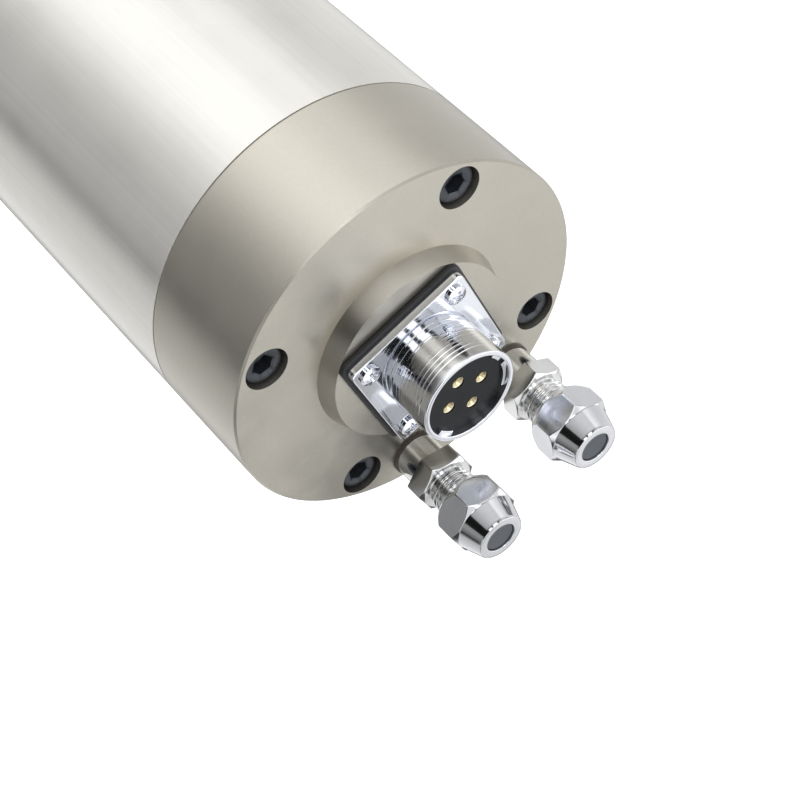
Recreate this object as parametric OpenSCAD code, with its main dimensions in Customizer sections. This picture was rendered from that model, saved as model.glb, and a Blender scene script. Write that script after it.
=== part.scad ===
// Water-cooled motor spindle, 80 mm body, with a spring collet at the tool end.
// Millimetres. The spindle's axis is Z, the tool end is down and the rear cap is up.
// The origin is the centre of the collet's front face, where the tool goes in.

/* [Body] */
// Outside diameter of the housing tube, the rear cap and the front flange
body_d = 80; // [78:0.5:90]
// How many times thicker the housing tube's wall is than the front bearings' barrel inside it
wall_ratio = 2.3; // [2:0.05:2.5]
// Thinnest wall between a drilled water channel and the tube's outside or bore
channel_wall = 2.25; // [2:0.05:3]
// Metal left between the counterbore of a body screw and the outside
screw_rim = 1.1; // [0.8:0.1:1.4]
// Angle of each water channel from the nearest of the X and Y axes
channel_angle = 22.3; // [20:0.1:24]
// Depth of the milled crossovers that join the channels at the ends of the tube
crossover_depth = 6; // [4:0.5:10]
// Width of the milled crossovers
crossover_w = 5; // [3:0.5:5]
// Thickness of the flat gaskets at both ends of the tube
gasket_t = 0.4; // [0.3:0.1:1]
// Length of the small bevels on the outer edges of the body
edge_bevel = 0.4; // [0.2:0.1:1]

/* [Rear cap] */
// Length of the rear cap
cap_len = 28; // [24:0.5:40]
// Thickness of the cap's rear wall
cap_wall = 10; // [9.5:0.5:12]
// Width of the cap's locating ring, inside which the wiring space lies
cap_ring_w = 4.5; // [4:0.1:5]
// Height of the cap's locating spigot inside the tube
cap_spigot = 3; // [2:0.5:5]
// Radius of the raised centre boss where it meets the rear face
boss_base_r = 21.5; // [21:0.1:23]
// Radius of the boss at its top
boss_top_r = 20.2; // [20:0.1:21]
// Height of the boss
boss_h = 4.1; // [3:0.1:6]
// Length of the socket screws that hold the cap
cap_screw_len = 30; // [26:1:40]
// Depth of the screw heads below the rear face
head_depth = 1.2; // [0.8:0.1:2]

/* [Connector] */
// Side of the square rubber gasket
pad_side = 30; // [29:0.1:30.5]
// Thickness of the rubber gasket
pad_t = 1.3; // [0.8:0.1:2]
// Side of the square metal flange
flange_side = 28.3; // [27.5:0.1:29]
// Corner radius of the square metal flange
flange_corner = 1.2; // [0.8:0.1:2]
// Thickness of the square metal flange
flange_t = 2; // [1.6:0.1:3]
// Spacing of the four small flange screws, centre to centre
flange_screw_spacing = 22; // [21:0.1:22.6]
// Outside diameter of the threaded barrel
barrel_d = 21; // [20.6:0.1:21.6]
// Height of the barrel's rim above the flange
barrel_h = 11.8; // [10:0.1:16]
// Inside radius of the barrel
barrel_bore_r = 9.4; // [9:0.1:9.6]
// Depth of the insulator's face below the rim
insert_recess = 1.3; // [1:0.1:2]
// Distance of the four contacts from the centre
contact_circle_r = 4.2; // [4:0.1:4.8]
// Outside radius of a contact sleeve
contact_r = 1.35; // [1.1:0.05:1.5]
// Radius of the hole in a contact sleeve
contact_hole_r = 0.6; // [0.5:0.05:0.8]
// Depth of the connector below the boss's top
connector_tail = 16; // [14:0.5:18]

/* [Water fittings] */
// Diameter of the fitting's thread in the cap
port_thread_d = 8; // [7:0.5:8.5]
// Length of the fitting's thread in the cap
port_thread_len = 9; // [8:0.5:9]
// Diameter of the water way through the fitting
water_way_d = 4; // [3:0.5:4.5]
// Outside diameter of the fitting's round collar
collar_d = 10; // [9.4:0.1:10.4]
// Outside diameter of the sealing ring under the collar
seal_d = 10.6; // [10.4:0.1:11.4]
// Thickness of the sealing ring
seal_t = 0.6; // [0.5:0.1:1.5]
// Height of the round collar above the sealing ring
collar_h = 6; // [3:0.1:7]
// Width across the flats of the fitting's own hexagon
fitting_af = 12; // [11:0.5:13]
// Height of the fitting's own hexagon
fitting_hex_h = 4.5; // [4:0.1:8]
// Diameter of the thread that carries the nut
nut_thread_d = 10; // [9:0.1:10.6]
// Length of that thread
nut_thread_len = 10.9; // [9:0.1:12]
// Gap left between the fitting's hexagon and the nut
nut_stand_off = 4.2; // [1:0.1:5]
// Width across the flats of the nut
nut_af = 14; // [13.6:0.1:15]
// Height of the nut's hexagon
nut_hex_h = 8.2; // [7.8:0.1:12]
// Height of the nut's conical nose
nut_nose_h = 4.9; // [4:0.1:8]
// Diameter of the nose's flat tip
nose_tip_d = 10.6; // [10:0.1:11.4]
// Diameter of the hose hole in the nose
hose_hole_d = 6.8; // [6:0.1:7.2]
// Depth of the plug's face below the tip
plug_recess = 0.4; // [0.2:0.1:1]
// Length of the plug
plug_len = 9; // [6:0.5:10]
// Turn of the hexagons on the inlet fitting
inlet_turn = 5; // [0:1:60]
// Turn of the hexagons on the outlet fitting
outlet_turn = 42; // [0:1:60]

/* [Tool end] */
// Shank diameter that the collet holds
shank_d = 6; // [3:0.5:10]
// Largest diameter of the collet
collet_d = 21; // [20.8:0.1:21.2]
// Length of the collet
collet_len = 31.5; // [30:0.5:34]
// Half angle of the collet's long taper
taper_angle = 8; // [7.5:0.1:8.5]
// Number of slits cut from each end of the collet
slit_count = 6; // [4:1:8]
// Width of a slit
slit_w = 0.8; // [0.5:0.1:1.2]
// Length of collet left uncut at the end of a slit
slit_bridge = 5; // [4:0.5:7]
// Width across the flats of the collet nut
collet_nut_af = 30; // [29.5:0.5:32]
// Largest diameter of the collet nut
collet_nut_d = 34; // [33:0.5:35]
// Length of the collet nut
collet_nut_len = 19; // [18:0.5:24]
// Distance of the nut's front face behind the collet's face
nut_setback = 1; // [0.6:0.1:1.4]
// Diameter of the thread on the shaft's nose
nose_d = 25; // [24.6:0.1:25.4]
// Diameter of the shaft's collar behind the nose
shaft_collar_d = 30; // [29.5:0.5:30.5]
// Width across the wrench flats of the collar
wrench_af = 27; // [26:0.5:28]
// Length of the wrench flats
wrench_len = 6.5; // [5:0.5:12]
// Free length between the collet nut and the wrench flats
nut_clear = 2; // [1:0.5:6]

/* [Front end] */
// Thickness of the slinger ring
slinger_t = 3; // [2:0.5:5]
// Outside diameter of the slinger ring
slinger_d = 44; // [42:0.5:48]
// Height of the slinger's lip
lip_h = 1.7; // [1:0.1:2.2]
// Thickness of the front cover
cover_t = 5; // [4.5:0.5:8]
// Outside diameter of the front cover
cover_d = 63; // [61:0.5:66]
// Height of the cover's spigot, which holds the bearings
cover_spigot = 4; // [3:0.5:6]
// Thickness of the front flange
front_flange_t = 10; // [9:0.5:14]
// Length of the front flange screws
front_screw_len = 16; // [14:1:20]
// Thickness of the bearing shoulder at the back of the front flange's barrel
shoulder_t = 4; // [3:0.5:6]

/* [Bearings] */
// Bore of the front bearings
front_id = 25; // [24.6:0.1:25.4]
// Outside diameter of the front bearings
front_od = 47; // [46.5:0.1:47.5]
// Width of one front bearing
front_w = 12; // [11:0.5:13]
// Ball diameter of the front bearings
front_ball_d = 6.35; // [5.5:0.05:6.4]
// Balls in one front bearing
front_balls_n = 13; // [9:1:13]
// Length of the spacers between the front bearings
spacer_len = 8; // [4:0.5:12]
// Bore of the rear bearings
rear_id = 15; // [14.8:0.1:15.2]
// Outside diameter of the rear bearings
rear_od = 32; // [31.5:0.1:32.5]
// Width of one rear bearing
rear_w = 9; // [8:0.5:10]
// Ball diameter of the rear bearings
rear_ball_d = 4.76; // [4:0.02:4.8]
// Balls in one rear bearing
rear_balls_n = 11; // [8:1:11]
// Gap that keeps the two rear bearings apart
rear_shim = 0.1; // [0.05:0.05:0.5]
// Thickness of the rear plate's wall under the bearings
plate_wall = 2; // [1.5:0.5:4]
// Height of the wave spring as it is fitted
spring_h = 1; // [0.8:0.1:1.6]
// Thickness of the wave spring's strip
spring_t = 0.3; // [0.2:0.05:0.4]
// Length of the front lock nut
front_lock_len = 8; // [6:0.5:10]
// Length of the rear lock nut
rear_lock_len = 6; // [5:0.5:8]

/* [Motor] */
// Length of the stator core
stator_len = 86; // [80:1:120]
// Bore of the stator core
stator_bore_d = 34; // [33:0.5:35]
// Number of slots in the stator core
slot_count = 24; // [12:6:24]
// Thickness of the stator core behind its slots
yoke_t = 2.3; // [2:0.1:4]
// Height of the end windings beyond the core
overhang = 14; // [12:0.5:18]
// Free length between the front flange's barrel and the windings
front_clear = 5; // [4:0.5:12]
// Free length between the windings and the rear plate
rear_clear = 2; // [1:0.5:6]
// Gap between the rotor and the stator
air_gap = 0.5; // [0.3:0.1:0.8]
// Length of the rotor core beyond the stator core at each end
rotor_extra = 1; // [0:0.5:2]
// Thickness of the rotor's end rings
end_ring_t = 5; // [4:0.5:6]
// Number of bars in the rotor
bar_count = 18; // [12:1:22]
// Diameter of a rotor bar
bar_d = 2.4; // [2:0.1:2.8]
// Diameter of the shaft inside the rotor
rotor_seat_d = 21; // [19:0.5:22]
// Diameter of a lead between the windings and the connector
lead_d = 2; // [1.5:0.1:2.4]

/* [Clearances] */
// Radial clearance of parts that are pressed together
press_gap = 0.02; // [0.01:0.01:0.04]
// Radial clearance of threads and of parts that slide or turn in each other
run_gap = 0.05; // [0.03:0.01:0.08]
// Radial clearance round the screws' shanks in their plain holes
screw_gap = 0.25; // [0.15:0.05:0.4]
// Radial clearance round the screws' heads in their counterbores
head_gap = 0.4; // [0.3:0.05:0.6]
// Clearance between turning and fixed parts of the front seal
seal_gap = 0.4; // [0.3:0.1:0.6]
// Clearance of the bearing balls in their grooves and pockets
ball_gap = 0.06; // [0.04:0.01:0.1]

/* [Hidden] */
$fn = 64;
eps = 0.01;

// Socket head cap screws: thread diameter, head diameter, head height, width of the hex socket
M3 = [3, 5.5, 3, 2.5];
M5 = [5, 8.5, 5, 4];
// Small screws of the connector: thread diameter, head diameter, head height
SMALL = [2.5, 4.4, 1.1];

body_r = body_d / 2;
// The room outside the front bearings, which their barrel and the tube's wall share
bore_r = front_od / 2 + (body_r - front_od / 2) / (1 + wall_ratio);
wall_t = body_r - bore_r;
port_r = body_r - wall_t / 2;
channel_d = wall_t - 2 * channel_wall;
screw_r = body_r - screw_rim - head_gap - M5[1] / 2;
// The end gaskets' inner edge stands back by a tenth of the metal between the tube's bore and the screw holes
gasket_bore_r = bore_r + (screw_r - M5[0] / 2 - screw_gap - bore_r) / 10;
cap_cavity_r = bore_r - cap_ring_w;

// Stations along the axis, from the tool end up
z_nut = nut_setback;
z_flats = z_nut + collet_nut_len + nut_clear;
z_slinger = z_flats + wrench_len;
z_cover = z_slinger + slinger_t + seal_gap;
z_flange = z_cover + cover_t;
z_front_brg = z_flange + cover_spigot;
front_stack = 2 * front_w + spacer_len;
z_front_brg_end = z_front_brg + front_stack;
z_tube = z_flange + front_flange_t + gasket_t;
z_barrel_end = z_front_brg_end + shoulder_t;
z_windings = z_barrel_end + front_clear;
z_stator = z_windings + overhang;
z_stator_end = z_stator + stator_len;
z_windings_end = z_stator_end + overhang;
z_plate = z_windings_end + rear_clear;
z_spring = z_plate + plate_wall;
z_rear_brg = z_spring + spring_h;
z_plate_end = z_rear_brg + 2 * rear_w + rear_shim;
z_cap = z_plate_end + cap_spigot;
z_tube_end = z_cap - gasket_t;
z_face = z_cap + cap_len;
z_boss = z_face + boss_h;
z_pad = z_boss + pad_t;
z_conn_flange = z_pad + flange_t;
z_rim = z_conn_flange + barrel_h;
z_insert = z_rim - insert_recess;
z_tail = z_boss - connector_tail;

// Stations of a water fitting
z_collar = z_face + seal_t;
z_fitting_hex = z_collar + collar_h;
z_nut_thread = z_fitting_hex + fitting_hex_h;
z_water_nut = z_nut_thread + nut_stand_off;
z_nut_hex_end = z_water_nut + nut_hex_h;
z_tip = z_nut_hex_end + nut_nose_h;
z_fitting_end = z_nut_thread + nut_thread_len;
// The hose's socket in the fitting: its radius, its depth, and the radius and depth of its mouth's cone
socket_r = hose_hole_d / 2;
socket_depth = 5;
mouth_r = nut_thread_d / 2 - 0.6;
mouth_depth = 1.2;
// Length of the nut's inner cone, over the ferrule
nut_cone_len = 3.6;
z_nut_cone = z_fitting_end + 0.4;
plug_r = hose_hole_d / 2 - run_gap;
port_turns = [inlet_turn, outlet_turn];

// The collet's profile: front lip, groove for the nut's ring, short 30 degree cone, long taper
lip_r = collet_d / 2 - 1.1;
groove_r = collet_d / 2 - 2;
lip_len = 2.3;
groove_len = 2;
short_cone_r = collet_d / 2 - 1.15;
short_cone_len = (collet_d / 2 - short_cone_r) / tan(30);
z_widest = lip_len + groove_len + short_cone_len;
function taper_r(z) = collet_d / 2 - (z - z_widest) * tan(taper_angle);
z_nose = z_widest + 2.2;

// Bearings
front_pitch_r = (front_id + front_od) / 4;
rear_pitch_r = (rear_id + rear_od) / 4;
stator_bore_r = stator_bore_d / 2;
rotor_r = stator_bore_r - air_gap;
bar_circle_r = rotor_r - bar_d / 2 - 0.6;
rotor_seat_r = rotor_seat_d / 2;
front_thread_r = front_id / 2 - 0.5;
rotor_shoulder_r = front_thread_r - 0.2;
rear_seat_r = rear_id / 2;
rear_thread_r = rear_seat_r - 0.5;
z_front_lock_end = z_front_brg_end + front_lock_len;
z_rotor = z_stator - rotor_extra;
z_rotor_end = z_stator_end + rotor_extra;
z_cage_end = z_rotor_end + end_ring_t;
z_shaft_end = z_plate_end + rear_lock_len + 2;
wire_circle_r = (rear_od / 2 + bore_r) / 2;

// Half width of the space between a bearing's rings
front_land = front_ball_d * 0.3;
rear_land = rear_ball_d * 0.3;
// Width of the shoulders that the outer rings and the spring sit on
shoulder_w = 3.5;
// Number of points round the wave spring
wave_points = 60;

// The slinger's lip: wall and outside radius
lip_w = 1.2;
slinger_lip_r = slinger_d / 2 - 2.4;

// The connector: radius of its tail, length of its screws, the step inside its flange that carries
// the tail and seats the insulator, and the start and end angles and the height of its keys
tail_r = 8.6;
small_screw_len = 7;
shell_step = 0.8;
keys = [[19, 42], [138, 179], [190, 206]];
key_h = 0.7;

// Screws: places, seats of the heads, and the depth of a tapped hole beyond the screw's end
cap_angles = [45, 135, 225, 315];
flange_angles = [0, 90, 180, 270];
channel_angles = [for (a = flange_angles, s = [-1, 1]) a + s * channel_angle];
port_angles = [90 - channel_angle, 90 + channel_angle];
z_cap_seat = z_face - head_depth - M5[2];
z_flange_seat = z_flange + M5[2] + 0.4;
z_cover_seat = z_cover + M3[2] + 0.2;
cover_screw_r = (front_od / 2 + cover_d / 2) / 2;
cover_screw_len = 10;
tap_extra = 3;

// Colours
STEEL = [0.78, 0.79, 0.8];
CAP_STEEL = [0.72, 0.69, 0.65];
NICKEL = [0.8, 0.82, 0.84];
BLACK_STEEL = [0.12, 0.12, 0.13];
RUBBER = [0.07, 0.07, 0.08];
INSULATOR = [0.1, 0.1, 0.11];
GOLD = [0.9, 0.78, 0.42];
COPPER = [0.72, 0.42, 0.24];
LAMINATION = [0.42, 0.43, 0.45];
ALUMINIUM = [0.76, 0.78, 0.8];
BEARING_STEEL = [0.66, 0.68, 0.7];
PHENOLIC = [0.55, 0.4, 0.22];
PLUG_GREY = [0.36, 0.35, 0.36];

module at_angles(angles, r) {
    for (a = angles) rotate(a) translate([r, 0, 0]) children();
}

module ring(ro, ri, z0, z1) {
    translate([0, 0, z0]) difference() {
        cylinder(r = ro, h = z1 - z0);
        translate([0, 0, -1]) cylinder(r = ri, h = z1 - z0 + 2);
    }
}

module bore(r, z0, z1) {
    translate([0, 0, z0]) cylinder(r = r, h = z1 - z0);
}

module rounded_square(side, r, h) {
    inner = side - 2 * r;
    translate([-side / 2, -inner / 2, 0]) cube([side, inner, h]);
    translate([-inner / 2, -side / 2, 0]) cube([inner, side, h]);
    for (x = [-1, 1], y = [-1, 1]) translate([x * inner / 2, y * inner / 2, 0]) cylinder(r = r, h = h);
}

module hex_prism(af, z0, z1) {
    translate([0, 0, z0]) rotate(30) cylinder(d = af / cos(30), h = z1 - z0, $fn = 6);
}

// A socket head cap screw whose head's top is at z = 0 and whose shank points down
module cap_screw(kind, shank_len) {
    difference() {
        union() {
            translate([0, 0, -kind[2]]) cylinder(d = kind[1], h = kind[2] - 0.4);
            translate([0, 0, -0.4]) cylinder(d1 = kind[1], d2 = kind[1] - 0.8, h = 0.4);
            translate([0, 0, -kind[2] - shank_len]) cylinder(d = kind[0], h = shank_len + eps);
        }
        hex_prism(kind[3], -kind[2] * 0.6, 1);
    }
}

// The space of such a screw: counterbore and plain hole, with the head's seat at z = 0
module screw_space(kind, depth, hole_len) {
    cylinder(d = kind[1] + 2 * head_gap, h = depth);
    translate([0, 0, -hole_len]) cylinder(d = kind[0] + 2 * screw_gap, h = hole_len + eps);
}

module tapped_hole(kind, z0, z1) {
    bore(kind[0] / 2 + run_gap, z0, z1);
}

module at_flange_screws() {
    for (x = [-1, 1], y = [-1, 1])
        translate([x * flange_screw_spacing / 2, y * flange_screw_spacing / 2, 0]) children();
}

// Part of a circular trench, from one angle to another, for the crossovers
module trench(from, to, z0, z1) {
    translate([0, 0, z0]) rotate(from) rotate_extrude(angle = to - from)
        translate([port_r - crossover_w / 2, 0]) square([crossover_w, z1 - z0]);
}

module housing_tube() {
    color(STEEL) difference() {
        bore(body_r, z_tube, z_tube_end);
        bore(bore_r, z_tube - 1, z_tube_end + 1);
        at_angles(channel_angles, port_r) bore(channel_d / 2, z_tube - 1, z_tube_end + 1);
        for (a = cap_angles)
            trench(a - 45 + channel_angle, a + 45 - channel_angle, z_tube - 1, z_tube + crossover_depth);
        for (a = [0, 180, 270])
            trench(a - channel_angle, a + channel_angle, z_tube_end - crossover_depth, z_tube_end + 1);
        at_angles(cap_angles, screw_r) tapped_hole(M5, z_cap_seat - cap_screw_len - tap_extra, z_tube_end + 1);
        at_angles(flange_angles, screw_r) tapped_hole(M5, z_tube - 1, z_flange_seat + front_screw_len + tap_extra);
    }
}

module end_gasket(z0, holes, ports) {
    difference() {
        ring(body_r - 0.3, gasket_bore_r, z0, z0 + gasket_t);
        at_angles(holes, screw_r) bore(M5[0] / 2 + screw_gap, z0 - 1, z0 + gasket_t + 1);
        at_angles(ports, port_r) bore(water_way_d / 2 + 0.5, z0 - 1, z0 + gasket_t + 1);
    }
}

module front_gasket() {
    color(RUBBER) end_gasket(z_tube - gasket_t, flange_angles, []);
}

module rear_gasket() {
    color(RUBBER) end_gasket(z_tube_end, cap_angles, port_angles);
}

module front_flange() {
    color(STEEL) difference() {
        union() {
            translate([0, 0, z_flange]) cylinder(r1 = body_r - edge_bevel, r2 = body_r, h = edge_bevel);
            bore(body_r, z_flange + edge_bevel, z_tube - gasket_t);
            bore(bore_r - press_gap, z_flange + 1, z_barrel_end);
        }
        bore(front_od / 2 + press_gap, z_flange - 1, z_front_brg_end);
        bore(front_od / 2 - shoulder_w, z_front_brg_end - 1, z_barrel_end + 1);
        at_angles(flange_angles, screw_r) translate([0, 0, z_flange_seat]) mirror([0, 0, 1])
            screw_space(M5, z_flange_seat - z_flange + 1, front_flange_t);
        at_angles(cap_angles, cover_screw_r)
            tapped_hole(M3, z_flange - 1, z_cover_seat + cover_screw_len + 1);
    }
}

module front_cover() {
    color(STEEL) difference() {
        union() {
            translate([0, 0, z_cover]) cylinder(d1 = cover_d - 2 * edge_bevel, d2 = cover_d, h = edge_bevel);
            bore(cover_d / 2, z_cover + edge_bevel, z_flange);
            bore(front_od / 2 - press_gap, z_cover + 1, z_front_brg);
        }
        bore(shaft_collar_d / 2 + seal_gap, z_cover - 1, z_front_brg + 1);
        bore(front_od / 2 - shoulder_w, z_flange, z_front_brg + 1);
        ring(slinger_lip_r + seal_gap, slinger_lip_r - lip_w - seal_gap, z_cover - 1, z_cover + lip_h);
        at_angles(flange_angles, screw_r) bore(M5[1] / 2 + head_gap + 0.4, z_cover - 1, z_flange + 1);
        at_angles(cap_angles, cover_screw_r) translate([0, 0, z_cover_seat]) mirror([0, 0, 1])
            screw_space(M3, z_cover_seat - z_cover + 1, cover_t + 1);
    }
}

module slinger() {
    color(STEEL) difference() {
        union() {
            translate([0, 0, z_slinger]) cylinder(d1 = slinger_d - 3, d2 = slinger_d, h = slinger_t);
            ring(slinger_lip_r, slinger_lip_r - lip_w, z_slinger + 1, z_slinger + slinger_t + lip_h);
        }
        bore(shaft_collar_d / 2 + press_gap, z_slinger - 1, z_slinger + slinger_t + lip_h + 1);
    }
}

module front_cover_screws() {
    color(BLACK_STEEL) at_angles(cap_angles, cover_screw_r)
        translate([0, 0, z_cover_seat - M3[2]]) mirror([0, 0, 1]) cap_screw(M3, cover_screw_len);
}

module front_flange_screws() {
    color(BLACK_STEEL) at_angles(flange_angles, screw_r)
        translate([0, 0, z_flange_seat - M5[2]]) mirror([0, 0, 1]) cap_screw(M5, front_screw_len);
}

module rear_cap() {
    color(CAP_STEEL) difference() {
        union() {
            bore(body_r, z_cap, z_face - edge_bevel);
            translate([0, 0, z_face - edge_bevel])
                cylinder(r1 = body_r, r2 = body_r - edge_bevel, h = edge_bevel);
            bore(bore_r - press_gap, z_plate_end, z_cap + 1);
            translate([0, 0, z_face]) cylinder(r1 = boss_base_r, r2 = boss_top_r, h = boss_h);
        }
        bore(cap_cavity_r, z_plate_end - 1, z_face - cap_wall);
        bore(tail_r + press_gap, z_face - cap_wall - 1, z_boss + 1);
        at_angles(cap_angles, screw_r) translate([0, 0, z_cap_seat]) screw_space(M5, z_face - z_cap_seat + 1, cap_len);
        at_angles(port_angles, port_r) {
            bore(water_way_d / 2 + 0.5, z_cap - 1, z_face);
            bore(port_thread_d / 2 + run_gap, z_face - port_thread_len - 1, z_face + 1);
        }
        at_flange_screws() tapped_hole(SMALL, z_conn_flange - small_screw_len - 1, z_boss + 1);
    }
}

module rear_cap_screws() {
    color(BLACK_STEEL) at_angles(cap_angles, screw_r)
        translate([0, 0, z_face - head_depth]) cap_screw(M5, cap_screw_len);
}

module rear_bearing_plate() {
    color(STEEL) difference() {
        bore(bore_r - press_gap, z_plate, z_plate_end);
        bore(rear_od / 2 + press_gap, z_spring, z_plate_end + 1);
        bore(rear_od / 2 - shoulder_w, z_plate - 1, z_spring + 1);
        at_angles(flange_angles, wire_circle_r) bore(lead_d / 2 + 0.6, z_plate - 1, z_plate_end + 1);
    }
}

// A stator slot in plan: the opening between the tooth tips, the tapered slot and its round end
module slot_plan(inset, opening) {
    tip = stator_bore_r + 1.6;
    end = (bore_r - yoke_t) / (1 + PI / 2 / slot_count);
    w0 = PI * tip / slot_count - inset;
    w1 = PI * end / slot_count - inset;
    if (opening) translate([stator_bore_r - 1, -0.6]) square([3, 1.2]);
    polygon([[tip + inset, -w0 / 2], [end, -w1 / 2], [end, w1 / 2], [tip + inset, w0 / 2]]);
    translate([end, 0]) circle(d = w1);
}

module stator_core() {
    color(LAMINATION) translate([0, 0, z_stator]) linear_extrude(stator_len) difference() {
        circle(r = bore_r - press_gap, $fn = 128);
        circle(r = stator_bore_r);
        for (i = [0:slot_count - 1]) rotate(i * 360 / slot_count) slot_plan(0, true);
    }
}

// The end winding: a rounded ring of copper
module end_winding(z0) {
    r0 = stator_bore_r + 1.8;
    r1 = bore_r - 1;
    corner = (r1 - r0) / 3;
    translate([0, 0, z0]) rotate_extrude() {
        translate([r0 + corner, 0]) square([r1 - r0 - 2 * corner, overhang]);
        translate([r0, corner]) square([r1 - r0, overhang - 2 * corner]);
        for (x = [r0 + corner, r1 - corner], y = [corner, overhang - corner])
            translate([x, y]) circle(r = corner);
    }
}

module stator_windings() {
    color(COPPER) {
        end_winding(z_windings);
        end_winding(z_stator_end);
        translate([0, 0, z_stator - 1]) linear_extrude(stator_len + 2)
            for (i = [0:slot_count - 1]) rotate(i * 360 / slot_count) slot_plan(0.3, false);
    }
}

// A round rod between two points in the XZ plane, which begins a little before the first of them
module rod(p, q, r, before) {
    d = q - p;
    translate([p[0], 0, p[1]]) rotate([0, atan2(d[0], d[1]), 0]) translate([0, 0, -before])
        cylinder(r = r, h = norm(d) + before);
}

module motor_leads() {
    bend_z = z_plate_end + rear_lock_len + 1;
    route = [
        [wire_circle_r, z_windings_end], [wire_circle_r, bend_z],
        [contact_circle_r, z_tail - 5], [contact_circle_r, z_tail - 2]
    ];
    color(RUBBER) for (a = flange_angles) rotate(a) {
        for (i = [0:2]) rod(route[i], route[i + 1], lead_d / 2, i == 0 ? 0 : 0.3);
        for (i = [1, 2]) translate([route[i][0], 0, route[i][1]]) sphere(d = lead_d + 0.2, $fn = 24);
    }
}

// A bearing ring with a round groove for the balls
module bearing_ring(ro, ri, w, pitch_r, ball_d) {
    corner = 0.5;
    rotate_extrude() difference() {
        polygon([[ri, corner], [ri + corner, 0], [ro - corner, 0], [ro, corner],
            [ro, w - corner], [ro - corner, w], [ri + corner, w], [ri, w - corner]]);
        translate([pitch_r, w / 2]) circle(r = ball_d / 2 + ball_gap);
    }
}

module ball_row(pitch_r, w, ball_d, n) {
    for (i = [0:n - 1]) rotate(i * 360 / n) translate([pitch_r, 0, w / 2]) sphere(d = ball_d, $fn = 32);
}

module ball_cage(pitch_r, w, ball_d, n) {
    cage_t = ball_d * 0.34;
    difference() {
        ring(pitch_r + cage_t / 2, pitch_r - cage_t / 2, 1, w - 1);
        for (i = [0:n - 1]) rotate(i * 360 / n)
            translate([pitch_r - cage_t, 0, w / 2]) rotate([0, 90, 0])
                cylinder(d = ball_d + 2 * ball_gap, h = 2 * cage_t);
    }
}

module at_front_bearings() {
    for (z = [z_front_brg, z_front_brg + front_w + spacer_len]) translate([0, 0, z]) children();
}

module at_rear_bearings() {
    for (z = [z_rear_brg, z_rear_brg + rear_w + rear_shim]) translate([0, 0, z]) children();
}

module front_outer_rings() {
    color(BEARING_STEEL) at_front_bearings()
        bearing_ring(front_od / 2, front_pitch_r + front_land, front_w, front_pitch_r, front_ball_d);
}

module front_inner_rings() {
    color(BEARING_STEEL) at_front_bearings()
        bearing_ring(front_pitch_r - front_land, front_id / 2 + press_gap, front_w, front_pitch_r,
            front_ball_d);
}

module front_balls() {
    color(STEEL) at_front_bearings() ball_row(front_pitch_r, front_w, front_ball_d, front_balls_n);
}

module front_cages() {
    color(PHENOLIC) at_front_bearings() ball_cage(front_pitch_r, front_w, front_ball_d, front_balls_n);
}

module front_outer_spacer() {
    color(STEEL) ring(front_od / 2, front_pitch_r + front_land + 0.3, z_front_brg + front_w,
        z_front_brg + front_w + spacer_len);
}

module front_inner_spacer() {
    color(STEEL) ring(front_pitch_r - front_land - 0.3, front_id / 2 + press_gap, z_front_brg + front_w,
        z_front_brg + front_w + spacer_len);
}

module rear_outer_rings() {
    color(BEARING_STEEL) at_rear_bearings()
        bearing_ring(rear_od / 2, rear_pitch_r + rear_land, rear_w, rear_pitch_r, rear_ball_d);
}

module rear_inner_rings() {
    color(BEARING_STEEL) at_rear_bearings()
        bearing_ring(rear_pitch_r - rear_land, rear_id / 2 + press_gap, rear_w, rear_pitch_r, rear_ball_d);
}

module rear_balls() {
    color(STEEL) at_rear_bearings() ball_row(rear_pitch_r, rear_w, rear_ball_d, rear_balls_n);
}

module rear_cages() {
    color(PHENOLIC) at_rear_bearings() ball_cage(rear_pitch_r, rear_w, rear_ball_d, rear_balls_n);
}

// The wave spring is a flat strip whose height follows three waves round the circle
function wave_z(i) = (spring_h - spring_t) / 2 * (1 + sin(3 * 360 * i / wave_points));

module preload_spring() {
    r0 = rear_od / 2 - 3.2;
    r1 = rear_od / 2 - 0.3;
    points = [for (i = [0:wave_points - 1], c = [[r0, 0], [r1, 0], [r1, spring_t], [r0, spring_t]])
        let (a = 360 * i / wave_points) [c[0] * cos(a), c[0] * sin(a), z_spring + wave_z(i) + c[1]]];
    faces = [for (i = [0:wave_points - 1], k = [0:3])
        let (j = (i + 1) % wave_points, m = (k + 1) % 4) [4 * i + k, 4 * i + m, 4 * j + m, 4 * j + k]];
    color(STEEL) polyhedron(points, faces);
}

module shaft() {
    collar_r = shaft_collar_d / 2;
    bore_end = collet_len + 2.5;
    color(STEEL) difference() {
        union() {
            translate([0, 0, z_nose]) cylinder(d1 = nose_d - 1.6, d2 = nose_d, h = 0.8);
            bore(nose_d / 2, z_nose + 0.8, z_flats + 1);
            bore(collar_r, z_flats, z_front_brg);
            bore(front_id / 2, z_front_brg - eps, z_front_brg_end);
            bore(front_thread_r, z_front_brg_end - eps, z_front_lock_end + 1);
            bore(rotor_shoulder_r, z_front_lock_end, z_rotor);
            bore(rotor_seat_r, z_rotor - eps, z_cage_end + 2);
            bore(rear_seat_r + 1.5, z_cage_end, z_rear_brg);
            bore(rear_seat_r, z_rear_brg - eps, z_plate_end);
            bore(rear_thread_r, z_plate_end - eps, z_shaft_end - 1);
            translate([0, 0, z_shaft_end - 1]) cylinder(r1 = rear_thread_r, r2 = rear_thread_r - 1, h = 1);
        }
        translate([0, 0, z_nose - eps])
            cylinder(r1 = taper_r(z_nose) + run_gap, r2 = taper_r(bore_end) + run_gap, h = bore_end - z_nose);
        bore(taper_r(bore_end) - 1, bore_end - 1, bore_end + 16);
        for (s = [0, 180]) rotate(s)
            translate([wrench_af / 2, -collar_r, z_flats - eps]) cube([collar_r, 2 * collar_r, wrench_len]);
    }
}

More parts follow.
